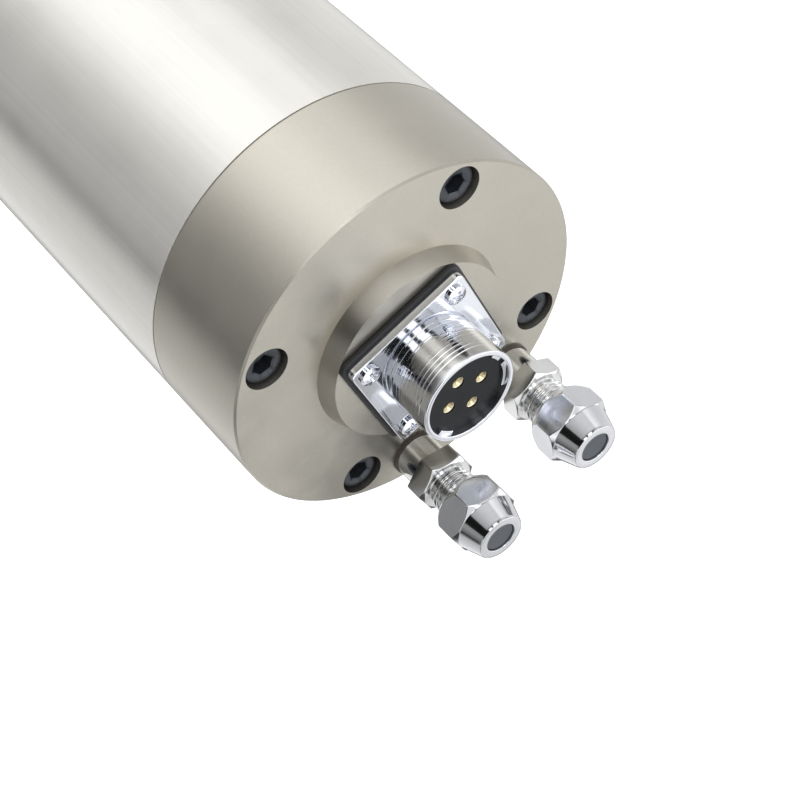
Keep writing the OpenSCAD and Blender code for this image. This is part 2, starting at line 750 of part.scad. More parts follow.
module rotor_core() {
    color(LAMINATION) difference() {
        ring(rotor_r, rotor_seat_r + press_gap, z_rotor, z_rotor_end);
        at_angles([for (i = [0:bar_count - 1]) i * 360 / bar_count], bar_circle_r)
            bore(bar_d / 2 + press_gap, z_rotor - 1, z_rotor_end + 1);
    }
}

module rotor_cage() {
    color(ALUMINIUM) {
        for (z = [z_rotor - end_ring_t, z_rotor_end])
            ring(bar_circle_r + bar_d / 2 + 0.3, rotor_shoulder_r + 0.2, z, z + end_ring_t);
        at_angles([for (i = [0:bar_count - 1]) i * 360 / bar_count], bar_circle_r)
            bore(bar_d / 2, z_rotor - 1, z_rotor_end + 1);
    }
}

// A slotted round nut
module lock_nut(ro, ri, z0, len) {
    difference() {
        ring(ro, ri + run_gap, z0, z0 + len);
        at_angles(flange_angles, ro - 1.5) translate([0, -2, z0 - 1]) cube([4, 4, len + 2]);
    }
}

module front_lock_nut() {
    color(BLACK_STEEL) lock_nut(front_pitch_r - front_land + 0.6, front_thread_r, z_front_brg_end,
        front_lock_len);
}

module rear_lock_nut() {
    color(BLACK_STEEL) lock_nut(rear_pitch_r - rear_land + 0.6, rear_thread_r, z_plate_end, rear_lock_len);
}

module collet() {
    color(STEEL) difference() {
        rotate_extrude() difference() {
            polygon([[0, 0], [lip_r - 0.5, 0], [lip_r, 0.5], [lip_r, lip_len], [groove_r, lip_len],
                [groove_r, lip_len + groove_len], [short_cone_r, lip_len + groove_len],
                [collet_d / 2, z_widest], [taper_r(collet_len), collet_len], [0, collet_len]]);
            translate([-1, -1]) square([shank_d / 2 + 1, collet_len + 2]);
        }
        bore(shank_d / 2 + 1, collet_len - 9, collet_len + 1);
        for (i = [0:slit_count - 1]) {
            rotate(i * 360 / slit_count) translate([0, -slit_w / 2, -1])
                cube([collet_d, slit_w, collet_len - slit_bridge + 1]);
            rotate((i + 0.5) * 360 / slit_count) translate([0, -slit_w / 2, slit_bridge])
                cube([collet_d, slit_w, collet_len]);
        }
    }
}

module collet_nut() {
    ring_r = (lip_r + groove_r) / 2 - 0.05;
    z0 = z_nut;
    z1 = z_nut + collet_nut_len;
    zg = lip_len + groove_len;
    color(STEEL) difference() {
        intersection() {
            hex_prism(collet_nut_af, z0, z1);
            rotate_extrude() polygon([[0, z0], [collet_nut_d / 2 - 2.6, z0], [collet_nut_d / 2, z0 + 4],
                [collet_nut_d / 2, z1 - 0.6], [collet_nut_d / 2 - 0.6, z1], [0, z1]]);
        }
        bore(lip_r + 0.2, z0 - 1, lip_len + 0.2);
        bore(ring_r, lip_len, zg);
        translate([0, 0, zg - 0.2])
            cylinder(r1 = short_cone_r + 0.15, r2 = collet_d / 2 + 0.3, h = short_cone_len + 0.2);
        bore(collet_d / 2 + 0.3, z_widest - eps, z_nose);
        bore(nose_d / 2 + run_gap, z_nose - 0.6, z1 + 1);
    }
}

// Everything of a water fitting stands at its port; the inlet is at +X and the outlet at -X
module at_port(i) {
    rotate(port_angles[i]) translate([port_r, 0, 0]) rotate(port_turns[i] - port_angles[i]) children();
}

// A hexagon whose ends are turned down to the circle of its flats
module turned_hex(af, z0, z1, top, bottom) {
    corner = af / 2 / cos(30);
    flat = af / 2 - 0.1;
    fall = (corner - flat) * tan(30);
    intersection() {
        hex_prism(af, z0, z1);
        rotate_extrude() polygon([[0, z0], [bottom ? flat : corner, z0], [corner + eps, z0 + (bottom ? fall : 0)],
            [corner + eps, z1 - (top ? fall : 0)], [top ? flat : corner, z1], [0, z1]]);
    }
}

module water_fitting() {
    neck_r = port_thread_d / 2;
    color(NICKEL) difference() {
        union() {
            bore(neck_r, z_face - port_thread_len, z_collar + eps);
            bore(collar_d / 2, z_collar, z_fitting_hex + eps);
            turned_hex(fitting_af, z_fitting_hex, z_nut_thread, true, false);
            bore(nut_thread_d / 2, z_nut_thread - eps, z_fitting_end);
        }
        bore(water_way_d / 2, z_face - port_thread_len - 1, z_fitting_end + 1);
        bore(socket_r, z_fitting_end - socket_depth, z_fitting_end + 1);
        translate([0, 0, z_fitting_end - mouth_depth])
            cylinder(r1 = socket_r - eps, r2 = mouth_r, h = mouth_depth + eps);
    }
}

module fitting_seal() {
    color(RUBBER) ring(seal_d / 2, port_thread_d / 2 + run_gap, z_face, z_face + seal_t);
}

module water_nut() {
    corner = nut_af / 2 / cos(30);
    color(NICKEL) difference() {
        union() {
            intersection() {
                hex_prism(nut_af, z_water_nut, z_nut_hex_end);
                rotate_extrude() polygon([[0, z_water_nut], [nut_thread_d / 2 + 0.5, z_water_nut],
                    [nut_af / 2, z_water_nut + 1.6], [corner, z_water_nut + 3.3],
                    [corner, z_nut_hex_end - 0.9], [nut_af / 2 - 0.1, z_nut_hex_end], [0, z_nut_hex_end]]);
            }
            translate([0, 0, z_nut_hex_end - eps])
                cylinder(r1 = nut_af / 2 - 0.25, r2 = nose_tip_d / 2, h = nut_nose_h + eps);
        }
        bore(nut_thread_d / 2 + run_gap, z_water_nut - 1, z_nut_cone);
        translate([0, 0, z_nut_cone - eps])
            cylinder(r1 = nut_thread_d / 2 + run_gap, r2 = hose_hole_d / 2, h = nut_cone_len);
        bore(hose_hole_d / 2, z_fitting_end, z_tip + 1);
    }
}

// The ferrule is a double cone that sits in the fitting's mouth, under the nut's inner cone
module water_ferrule() {
    z0 = z_fitting_end - mouth_depth + 0.4;
    z1 = z_nut_cone + nut_cone_len - 0.8;
    inner = hose_hole_d / 2 + press_gap;
    color(GOLD) rotate_extrude() polygon([[inner, z0], [inner + 0.2, z0], [mouth_r - 0.1, z_fitting_end],
        [mouth_r, z_fitting_end + 0.2], [mouth_r, z_nut_cone + 0.5], [inner + 0.1, z1], [inner, z1]]);
}

module water_plug() {
    z1 = z_tip - plug_recess;
    z0 = z1 - plug_len;
    color(PLUG_GREY) {
        translate([0, 0, z0]) cylinder(r1 = plug_r - 0.5, r2 = plug_r, h = 0.5 + eps);
        bore(plug_r, z0 + 0.5, z1 - 0.3);
        translate([0, 0, z1 - 0.3 - eps]) cylinder(r1 = plug_r, r2 = plug_r - 0.3, h = 0.3);
    }
}

module inlet_fitting() { at_port(0) water_fitting(); }
module outlet_fitting() { at_port(1) water_fitting(); }
module inlet_seal() { at_port(0) fitting_seal(); }
module outlet_seal() { at_port(1) fitting_seal(); }
module inlet_nut() { at_port(0) water_nut(); }
module outlet_nut() { at_port(1) water_nut(); }
module inlet_ferrule() { at_port(0) water_ferrule(); }
module outlet_ferrule() { at_port(1) water_ferrule(); }
module inlet_plug() { at_port(0) water_plug(); }
module outlet_plug() { at_port(1) water_plug(); }

module connector_gasket() {
    color(RUBBER) difference() {
        translate([0, 0, z_boss]) rounded_square(pad_side, 2, pad_t);
        bore(tail_r + 0.3, z_boss - 1, z_pad + 1);
        at_flange_screws() bore(SMALL[0] / 2 + screw_gap, z_boss - 1, z_pad + 1);
    }
}

module connector_shell() {
    color(NICKEL) {
        difference() {
            union() {
                translate([0, 0, z_pad]) rounded_square(flange_side, flange_corner, flange_t);
                bore(barrel_d / 2 - 0.6, z_pad, z_conn_flange + 1.2 + eps);
                bore(barrel_d / 2, z_conn_flange + 1.2, z_rim - 0.2);
                translate([0, 0, z_rim - 0.2 - eps])
                    cylinder(r1 = barrel_d / 2, r2 = barrel_d / 2 - 0.2, h = 0.2 + eps);
                bore(tail_r, z_tail + 2, z_pad + 1);
            }
            bore(barrel_bore_r, z_pad + shell_step, z_rim + 1);
            bore(tail_r - 1.1, z_tail, z_pad + 1);
            at_flange_screws() bore(SMALL[0] / 2 + screw_gap, z_pad - 1, z_conn_flange + 1);
        }
        for (k = keys) translate([0, 0, z_insert + eps]) rotate(k[0]) rotate_extrude(angle = k[1] - k[0])
            translate([barrel_bore_r - 0.9, 0]) square([1.2, key_h]);
    }
}

module connector_insert() {
    tail = tail_r - 1.1 - press_gap;
    color(INSULATOR) difference() {
        union() {
            bore(barrel_bore_r - press_gap, z_pad + shell_step, z_insert);
            bore(tail, z_tail + 2, z_pad + 1);
        }
        at_angles(flange_angles, contact_circle_r) bore(contact_r + press_gap, z_tail, z_rim);
    }
}

module connector_contacts() {
    color(GOLD) at_angles(flange_angles, contact_circle_r) difference() {
        bore(contact_r, z_tail - 2, z_insert - 0.3);
        bore(contact_hole_r, z_insert - 8, z_rim);
        translate([0, 0, z_insert - 1]) cylinder(r1 = contact_hole_r - eps, r2 = contact_r - 0.12, h = 0.7 + eps);
    }
}

module connector_screws() {
    color(NICKEL) at_flange_screws() translate([0, 0, z_conn_flange]) {
        difference() {
            cylinder(d1 = SMALL[1], d2 = SMALL[1] - 1, h = SMALL[2]);
            for (a = [0, 90]) rotate(a) translate([-1.2, -0.3, 0.4]) cube([2.4, 0.6, 2]);
        }
        translate([0, 0, -small_screw_len]) cylinder(d = SMALL[0], h = small_screw_len + eps);
    }
}

housing_tube();
front_flange();
front_cover();
front_cover_screws();
front_flange_screws();
front_gasket();
rear_gasket();
rear_cap();
rear_cap_screws();
rear_bearing_plate();
stator_core();
stator_windings();
motor_leads();
front_outer_rings();
front_outer_spacer();
rear_outer_rings();
preload_spring();
connector_gasket();
connector_shell();
connector_insert();
connector_contacts();
connector_screws();
inlet_fitting();
outlet_fitting();
inlet_seal();
outlet_seal();
shaft();
rotor_core();
rotor_cage();
slinger();
front_inner_rings();
front_inner_spacer();
front_lock_nut();
rear_inner_rings();
rear_lock_nut();
front_balls();
front_cages();
rear_balls();
rear_cages();
collet();
collet_nut();
inlet_ferrule();
outlet_ferrule();
inlet_nut();
outlet_nut();
inlet_plug();
outlet_plug();
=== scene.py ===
"""Visual model of the water-cooled motor spindle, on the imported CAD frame.

Lengths in the classes are millimetres in the part's frame, which has the collet's face at the origin and
the rear cap up. Every new surface is worked out with numpy as a grid of two parameters, angle and place
along a profile, and stands for one CAD node. All other CAD nodes are shown as they are, with a finish.
"""

import logging
import math
from collections.abc import Callable, Sequence
from dataclasses import dataclass, field, replace
from enum import Enum

import bpy
import numpy as np
from mathutils import Matrix


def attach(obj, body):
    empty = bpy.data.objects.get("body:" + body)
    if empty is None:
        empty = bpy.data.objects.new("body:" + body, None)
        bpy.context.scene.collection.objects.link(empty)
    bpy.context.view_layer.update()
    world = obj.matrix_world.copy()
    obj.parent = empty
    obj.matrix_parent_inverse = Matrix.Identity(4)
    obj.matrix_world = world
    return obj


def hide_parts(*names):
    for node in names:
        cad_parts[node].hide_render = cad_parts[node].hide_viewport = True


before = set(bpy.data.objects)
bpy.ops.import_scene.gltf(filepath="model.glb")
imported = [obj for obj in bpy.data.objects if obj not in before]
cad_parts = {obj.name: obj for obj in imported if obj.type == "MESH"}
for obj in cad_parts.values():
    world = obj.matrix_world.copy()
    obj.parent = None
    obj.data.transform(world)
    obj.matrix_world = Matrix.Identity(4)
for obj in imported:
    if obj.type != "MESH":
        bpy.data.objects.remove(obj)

LOG = logging.getLogger("spindle")
MM = 0.001
TAU = 2 * math.pi
# Edges that turn by more than this are shown sharp
SHARP = math.radians(32)
# Scale at size 1, detail and roughness of the three noises
MARKS = (1300, 2.0, 0.5)
CLOUD = (70, 5.0, 0.6)
SPOTS = (900, 3.0, 0.55)
# Nearly all of a noise lies between these values
NOISE = (0.3, 0.7)
# The renderer's noise filter leaves specks where a surface's roughness lies on both sides of 0.274, so a
# smooth finish stays under the first value and a rough one over the second
SMOOTH_LIMIT = 0.265
ROUGH_LIMIT = 0.28
# Height of the marks in metres at size 1, and radii beyond which the colour goes over to a paler outer rim
RELIEF = 0.00001
RIM = (0.036, 0.038)

Array = np.ndarray
Triple = tuple[float, float, float]
Span = tuple[float, float]
Row = tuple[float, ...]
Socket = bpy.types.NodeSocket
RadiusRule = Callable[[Array, Array, Array], Array]


# Surfaces


@dataclass(frozen=True)
class Corner:
    """One corner of a profile: its radius and height, the length that is rounded off on both sides of it,
    and the longest step on the straight that follows it (0 leaves the straight whole)."""

    r: float
    z: float
    ease: float = 0.0
    step: float = 0.0


def profile(rows: Sequence[Row], closed: bool = True, steps: int = 4) -> Array:
    """Turns corners into a profile whose edges are softened.

    Each eased corner becomes a quadratic Bezier curve from a point before it to a point after it, with the
    corner as the control point. The curve leaves and joins the straights along their own direction.

    Args:
        rows: the corners' values in order, the material on their left (outer wall up, inner wall down).
        closed: whether the last corner joins the first.
        steps: number of pieces that a softened corner is cut into.

    Returns:
        An (n, 2) array of radius and height. A closed profile doesn't repeat its first point.
    """
    corners = [Corner(*row) for row in rows]
    points = np.array([(c.r, c.z) for c in corners])
    count = len(points)
    most = 0.45
    arcs: list[Array] = []
    for i, corner in enumerate(corners):
        inner = closed or 0 < i < count - 1
        if corner.ease <= 0 or not inner:
            arcs.append(points[i][None])
            continue
        before = points[i - 1] - points[i]
        after = points[(i + 1) % count] - points[i]
        reach = [min(corner.ease / np.linalg.norm(v), most) for v in (before, after)]
        t = np.linspace(0, 1, steps + 1)[:, None]
        start = points[i] + before * reach[0]
        end = points[i] + after * reach[1]
        arcs.append((1 - t) ** 2 * start + 2 * t * (1 - t) * points[i] + t**2 * end)
    out: list[Array] = []
    for i, arc in enumerate(arcs):
        out.append(arc)
        following = arcs[(i + 1) % count][0] if closed or i < count - 1 else None
        if following is None or corners[i].step <= 0:
            continue
        length = float(np.linalg.norm(following - arc[-1]))
        pieces = max(1, math.ceil(length / corners[i].step))
        t = np.linspace(0, 1, pieces + 1)[1:-1, None]
        out.append(arc[-1] * (1 - t) + following * t)
    return np.concatenate(out)


def soft_min(a: Array, b: Array, width: float) -> Array:
    """The lesser of two lengths, blended by a parabola where they differ by less than width."""
    blend = np.clip(0.5 + 0.5 * (b - a) / width, 0, 1)
    return b * (1 - blend) + a * blend - width * blend * (1 - blend)


@dataclass(frozen=True)
class Hexagon:
    """A hexagon by its width across the flats and the angle of one corner in degrees."""

    across: float
    turn: float = 0.0

    @property
    def corner(self) -> float:
        """Distance from the axis to a corner."""
        return self.across / 2 / math.cos(math.pi / 6)

    def radius(self, angle: Array) -> Array:
        """Distance from the axis to the hexagon's side at each angle."""
        local = np.mod(angle - math.radians(self.turn), TAU / 6) - TAU / 12
        return self.across / 2 / np.cos(local)


@dataclass(frozen=True)
class Thread:
    """A cut thread: its lead per turn, depth, first and last height, the length over which it fades, and
    how much of a pitch the groove takes."""

    pitch: float
    depth: float
    start: float
    end: float
    fade: float
    groove: float = 0.8

    def cut(self, angle: Array, z: Array) -> Array:
        """Depth of the groove at each angle and height.

        The groove is a helix: the phase is the height less the pitch times the turns made, in pitches. The
        depth rises from the groove's edge to its middle along half a cosine wave, and the rest of the pitch
        is the flat crest. Near both ends the depth falls to nothing along a smooth step.

        Args:
            angle: angles round the axis.
            z: heights, in the same shape.

        Returns:
            What the groove takes from the radius.
        """
        phase = np.mod((z - self.start) / self.pitch - angle / TAU, 1.0)
        inward = np.clip(1 - np.abs(2 * phase - 1) / self.groove, 0, 1)
        wave = 0.5 - 0.5 * np.cos(math.pi * inward)
        ends = np.clip((z - self.start) / self.fade, 0, 1) * np.clip((self.end - z) / self.fade, 0, 1)
        return self.depth * wave * ends * ends * (3 - 2 * ends)


@dataclass
class Skin:
    """Vertices and faces of a piece while it is put together from grids."""

    points: list[Array] = field(default_factory=list)
    quads: list[Array] = field(default_factory=list)
    tris: list[Array] = field(default_factory=list)
    count: int = 0

    def grid(self, xyz: Array, closed: bool, start: Row | None = None, end: Row | None = None) -> None:
        """Adds a grid that goes round once, row by row.

        Args:
            xyz: (rows, columns, 3) points in millimetres; columns go round and join up.
            closed: whether the last row joins the first.
            start: a point that closes the first row to a pole, if there is one.
            end: a point that closes the last row to a pole, if there is one.
        """
        rows, columns = xyz.shape[:2]
        index = self.count + np.arange(rows * columns).reshape(rows, columns)
        self.points.append(xyz.reshape(-1, 3))
        self.count += rows * columns
        across = np.roll(index, -1, axis=1)
        upper, upper_across = np.roll(index, -1, axis=0), np.roll(across, -1, axis=0)
        last = rows if closed else rows - 1
        quad = np.stack([index, across, upper_across, upper], axis=-1)[:last]
        self.quads.append(quad.reshape(-1, 4))
        for pole, row, flip in ((start, 0, True), (end, rows - 1, False)):
            if pole is None:
                continue
            self.points.append(np.asarray(pole, float)[None])
            ring, ahead = index[row], across[row]
            hub = np.full(columns, self.count)
            self.count += 1
            fan = (ahead, ring, hub) if flip else (ring, ahead, hub)
            self.tris.append(np.stack(fan, axis=-1))

    def revolve(
        self, line: Array, columns: int, rule: RadiusRule | None = None, closed: bool = True,
        centre: Span = (0, 0),
    ) -> None:
        """Turns a profile round an axis parallel to Z.

        Point (i, j) of the grid is (R cos a, R sin a, z), where a is the angle of column j and R is the
        profile's radius, or what the rule makes of it at that angle and height.

        Args:
            line: (n, 2) radius and height. An open line's ends that lie on the axis become poles.
            columns: number of points round the axis.
            rule: radius as a function of angle, radius and height, or None for a plain turned part.
            closed: whether the line joins up.
            centre: where the axis stands.
        """
        on_axis = [not closed and line[i, 0] < 1e-9 for i in (0, -1)]
        body = line[1 if on_axis[0] else 0 : -1 if on_axis[1] else len(line)]
        angle, r = np.meshgrid(np.arange(columns) * TAU / columns, body[:, 0])
        z = np.repeat(body[:, 1:2], columns, axis=1)
        if rule is not None:
            r = rule(angle, r, z)
        xyz = np.stack([centre[0] + r * np.cos(angle), centre[1] + r * np.sin(angle), z], axis=-1)
        poles = [(*centre, line[i, 1]) if on else None for i, on in zip((0, -1), on_axis)]
        self.grid(xyz, closed, poles[0], poles[1])

    def join(self, other: "Skin", flip: bool, shift: Triple) -> None:
        """Adds another skin, turned half round the X axis if flip is set, then moved by shift."""
        points = np.concatenate(other.points) * np.array([1, -1, -1] if flip else [1, 1, 1])
        self.points.append(points + np.array(shift))
        self.quads += [q + self.count for q in other.quads]
        self.tris += [t + self.count for t in other.tris]
        self.count += len(points)

    def piece(self, node: str, kind: str, finish: bpy.types.Material, body: str = "housing") -> None:
        """Makes the Blender object, at the origin, lets it ride on a body and stand for a CAD node.

        Args:
            node: the CAD node it replaces.
            kind: how its surface was made, which ends its name.
            finish: its material, which is named as the record's slot.
            body: the CAD body it moves with.
        """
        name = f"{node}_{kind}"
        mesh = bpy.data.meshes.new(name)
        points = np.concatenate(self.points) * MM
        faces = [np.concatenate(f) for f in (self.quads, self.tris) if f]
        corners = np.concatenate([f.ravel() for f in faces])
        sizes = np.concatenate([np.full(len(f), f.shape[1]) for f in faces])
        starts = np.concatenate([[0], np.cumsum(sizes)[:-1]])
        mesh.vertices.add(len(points))
        mesh.loops.add(len(corners))
        mesh.polygons.add(len(sizes))
        mesh.vertices.foreach_set("co", points.ravel())
        mesh.loops.foreach_set("vertex_index", corners.astype(np.int32))
        mesh.polygons.foreach_set("loop_start", starts.astype(np.int32))
        mesh.polygons.foreach_set("use_smooth", np.ones(len(sizes), bool))
        mesh.update(calc_edges=True)
        mesh.set_sharp_from_angle(angle=SHARP)
        mesh.materials.append(finish)
        obj = bpy.data.objects.new(name, mesh)
        bpy.context.scene.collection.objects.link(obj)
        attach(obj, body)
        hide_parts(node)
        LOG.info("%s: %d faces, on %s", name, len(sizes), body)


def rounded_square(side: float, corner: float, columns: int) -> Array:
    """Outline of a square with round corners, in columns points from angle 0.

    At each angle a ray from the centre meets either a side, at half the side over the greater of |cos| and
    |sin|, or a corner's circle, at the farther root of the ray and circle equation.

    Args:
        side: the square's side.
        corner: radius of its corners.
        columns: number of points.

    Returns:
        (columns,) distances from the centre.
    """
    angle = np.arange(columns) * TAU / columns
    c, s = np.abs(np.cos(angle)), np.abs(np.sin(angle))
    flat = side / 2 / np.maximum(c, s)
    hub = side / 2 - corner
    along = hub * (c + s)
    root = np.sqrt(np.maximum(along**2 - 2 * hub**2 + corner**2, 0))
    in_corner = flat * np.minimum(c, s) > hub
    return np.where(in_corner, along + root, flat)


# Finishes


class Grain(Enum):
    """How a surface was worked, which sets the direction of its fine marks."""

    TURNED = "rings round the axis"
    DRAWN = "streaks along the axis"
    SATIN = "fine even grain"
    MOULDED = "soft uneven skin"
    STACKED = "thin sheets across the axis"
    WOUND = "varnished wire"


@dataclass(frozen=True)
class PaintedShade:
    """Painted shade: a patch of darker colour where nearby parts cast shade on a face, by its centre, reach
    and ragged edge in metres, the share of light it takes, and how much of its reach is evenly dark."""

    centre: Triple
    reach: float
    depth: float
    ragged: float = 0.003
    core: float = 0.2


@dataclass(frozen=True)
class Finish:
    """A surface: its colour, how it reflects, and the marks and wear on it.

    mark and wear are shares of its light, bump and scale the height and size of its marks, clear the weight
    of a clear coat, gloss the specular level of what isn't metal, stain the colour of dark spots, and rim
    the colour that the outer rim of wide flat pieces goes over to.
    """

    slot: str
    color: Triple
    rough: float
    grain: Grain = Grain.SATIN
    metal: float = 1.0
    mark: float = 0.06
    wear: float = 0.06
    bump: float = 0.02
    scale: float = 1.0
    clear: float = 0.0
    gloss: float = 0.5
    stain: Triple | None = None
    painted_shade: PaintedShade | None = None
    rim: Triple | None = None


class Shader:
    """Builds the nodes of one material."""

    def __init__(self, owner: bpy.types.Material | bpy.types.World) -> None:
        """Empties the owner's tree and starts with its output."""
        owner.use_nodes = True
        self.tree = owner.node_tree
        self.tree.nodes.clear()
        kind = "World" if isinstance(owner, bpy.types.World) else "Material"
        self.output = self.tree.nodes.new(f"ShaderNodeOutput{kind}")

    def add(self, kind: str, values: dict | None = None, **settings: object) -> bpy.types.Node:
        """Adds a node, sets its properties and fills or links its inputs by name or number."""
        node = self.tree.nodes.new(kind)
        for key, value in settings.items():
            setattr(node, key, value)
        for key, value in (values or {}).items():
            if isinstance(value, Socket):
                self.tree.links.new(value, node.inputs[key])
            else:
                node.inputs[key].default_value = value
        return node

    def math(self, operation: str, a: object, b: object = 0.0, c: object = 0.0) -> Socket:
        """A math node's result."""
        return self.add("ShaderNodeMath", {0: a, 1: b, 2: c}, operation=operation).outputs[0]

    def vector(self, operation: str, a: object, b: object = (0, 0, 0)) -> bpy.types.Node:
        """A vector math node."""
        return self.add("ShaderNodeVectorMath", {0: a, 1: b}, operation=operation)

    def remap(self, value: Socket, low: float, high: float, to: Span) -> Socket:
        """Value carried from low..high to another range, held at its ends."""
        values = {"Value": value, "From Min": low, "From Max": high, "To Min": to[0], "To Max": to[1]}
        return self.add("ShaderNodeMapRange", values).outputs["Result"]

    def spread(self, noise: Socket, low: float, high: float) -> Socket:
        """A noise carried from its own range to low..high."""
        return self.remap(noise, *NOISE, (low, high))

    def step(self, value: object, start: float, end: float) -> Socket:
        """A smooth step that rises from 0 at start to 1 at end, which may lie below start."""
        values = {"Value": value, "From Min": min(start, end), "From Max": max(start, end)}
        values |= {"To Min": float(start > end), "To Max": float(start < end)}
        return self.add("ShaderNodeMapRange", values, interpolation_type="SMOOTHSTEP").outputs["Result"]

    def noise(self, vector: Socket, kind: Triple, size: float) -> Socket:
        """Fractal noise of one kind and size at a vector."""
        values = {"Vector": vector, "Scale": kind[0] / size, "Detail": kind[1], "Roughness": kind[2]}
        return self.add("ShaderNodeTexNoise", values).outputs[0]

    def blend(self, factor: Socket, a: Socket, b: Triple) -> Socket:
        """Colour a going over to colour b."""
        return self.add("ShaderNodeMix", {0: factor, 6: a, 7: (*b, 1)}, data_type="RGBA").outputs[2]

    def close(self, surface: Socket) -> None:
        """Links the finished surface to the output."""
        self.tree.links.new(surface, self.output.inputs["Surface"])


class Finisher:
    """Makes every finish once and hands it out by its slot."""

    def __init__(self, finishes: Sequence[Finish]) -> None:
        """Builds a material for each finish."""
        self.made = {f.slot: self.build(f) for f in finishes}

    def __getitem__(self, slot: str) -> bpy.types.Material:
        """The material of a slot."""
        return self.made[slot]

    def grain_vector(self, s: Shader, grain: Grain, place: Socket) -> Socket:
        """Coordinates in which the marks run the way the surface was worked.

        Rings are a noise of the distance from the axis and the height alone. Streaks are drawn out along the
        axis, sheets and wires across it.

        Args:
            s: the material's shader.
            grain: how the surface was worked.
            place: object coordinates.

        Returns:
            Coordinates for the noise of the fine marks.
        """
        if grain is Grain.TURNED:
            split = s.add("ShaderNodeSeparateXYZ", {0: place})
            x, y, z = (split.outputs[i] for i in range(3))
            square = s.math("ADD", s.math("MULTIPLY", x, x), s.math("MULTIPLY", y, y))
            return s.add("ShaderNodeCombineXYZ", {0: s.math("SQRT", square), 1: z, 2: 0}).outputs[0]
        squeeze = {
            Grain.DRAWN: (1, 1, 0.012), Grain.STACKED: (0.01, 0.01, 1), Grain.WOUND: (0.25, 0.25, 1),
        }.get(grain, (1, 1, 1))
        return s.vector("MULTIPLY", place, squeeze).outputs[0]

    def color(self, s: Shader, f: Finish, place: Socket, noises: tuple[Socket, Socket, Socket]) -> Socket:
        """Colour of a finish: its own, lighter and darker by marks and wear, with painted shade, stain and
        rim.

        The light is 1 plus both noises' shares, times 1 less the painted shade. The painted shade is a
        smooth step of the distance from its centre, made ragged by the cloudy noise, and darkens the colour
        where nearby parts cast shade. The stain grows with wear and spots.

        Args:
            s: the material's shader.
            f: the finish.
            place: object coordinates.
            noises: fine marks, cloudy wear and small spots.

        Returns:
            The base colour.
        """
        marks, cloud, spots = noises
        light = s.math("ADD", s.spread(marks, -f.mark, f.mark), s.spread(cloud, -f.wear, f.wear))
        shade = s.math("ADD", light, 1.0)
        # Painted shade: the colour is darkened round a point, standing in for the shade that nearby parts
        # cast there
        if f.painted_shade is not None:
            away = s.vector("DISTANCE", place, f.painted_shade.centre).outputs["Value"]
            away = s.math("ADD", away, s.spread(cloud, -f.painted_shade.ragged, f.painted_shade.ragged))
            inside = s.step(away, f.painted_shade.reach, f.painted_shade.reach * f.painted_shade.core)
            painted_dark = s.math("MULTIPLY", inside, f.painted_shade.depth)
            shade = s.math("MULTIPLY", shade, s.math("SUBTRACT", 1.0, painted_dark))
        color = s.add("ShaderNodeVectorMath", {0: f.color, "Scale": shade}, operation="SCALE").outputs[0]
        if f.stain is not None:
            worn = s.remap(cloud, 0.5, 0.75, (0, 1))
            patch = s.math("MULTIPLY", worn, s.remap(spots, 0.4, 0.7, (0.2, 0.8)))
            color = s.blend(patch, color, f.stain)
        if f.rim is not None:
            flat = s.vector("MULTIPLY", place, (1, 1, 0)).outputs[0]
            out = s.vector("LENGTH", flat).outputs["Value"]
            color = s.blend(s.step(out, *RIM), color, f.rim)
        return color

    def build(self, f: Finish) -> bpy.types.Material:
        """Makes the material of a finish: grain in its height and gloss, cloudy wear in its colour.

        Args:
            f: the finish.

        Returns:
            The material, named as the finish's slot.
        """
        material = bpy.data.materials.new(f.slot)
        s = Shader(material)
        place = s.add("ShaderNodeTexCoord").outputs["Object"]
        marks = s.noise(self.grain_vector(s, f.grain, place), MARKS, f.scale)
        cloud = s.noise(place, CLOUD, f.scale)
        spots = s.noise(place, SPOTS, f.scale)
        height = s.math("ADD", marks, s.math("MULTIPLY", spots, 0.5))
        relief = {"Strength": min(1.0, f.bump * 5), "Distance": RELIEF * f.scale, "Height": height}
        rough = s.spread(cloud, f.rough * 0.85, f.rough * 1.15)
        rough = s.math("ADD", s.spread(marks, -f.mark * 0.4, f.mark * 0.4), rough)
        hold = ("MAXIMUM", ROUGH_LIMIT) if f.rough > ROUGH_LIMIT else ("MINIMUM", SMOOTH_LIMIT)
        values = {
            "Base Color": self.color(s, f, place, (marks, cloud, spots)), "Metallic": f.metal,
            "Roughness": s.math(hold[0], rough, hold[1]), "Specular IOR Level": f.gloss,
            "Normal": s.add("ShaderNodeBump", relief).outputs[0],
            "Coat Weight": f.clear, "Coat Roughness": 0.12,
        }
        s.close(s.add("ShaderNodeBsdfPrincipled", values).outputs[0])
        return material


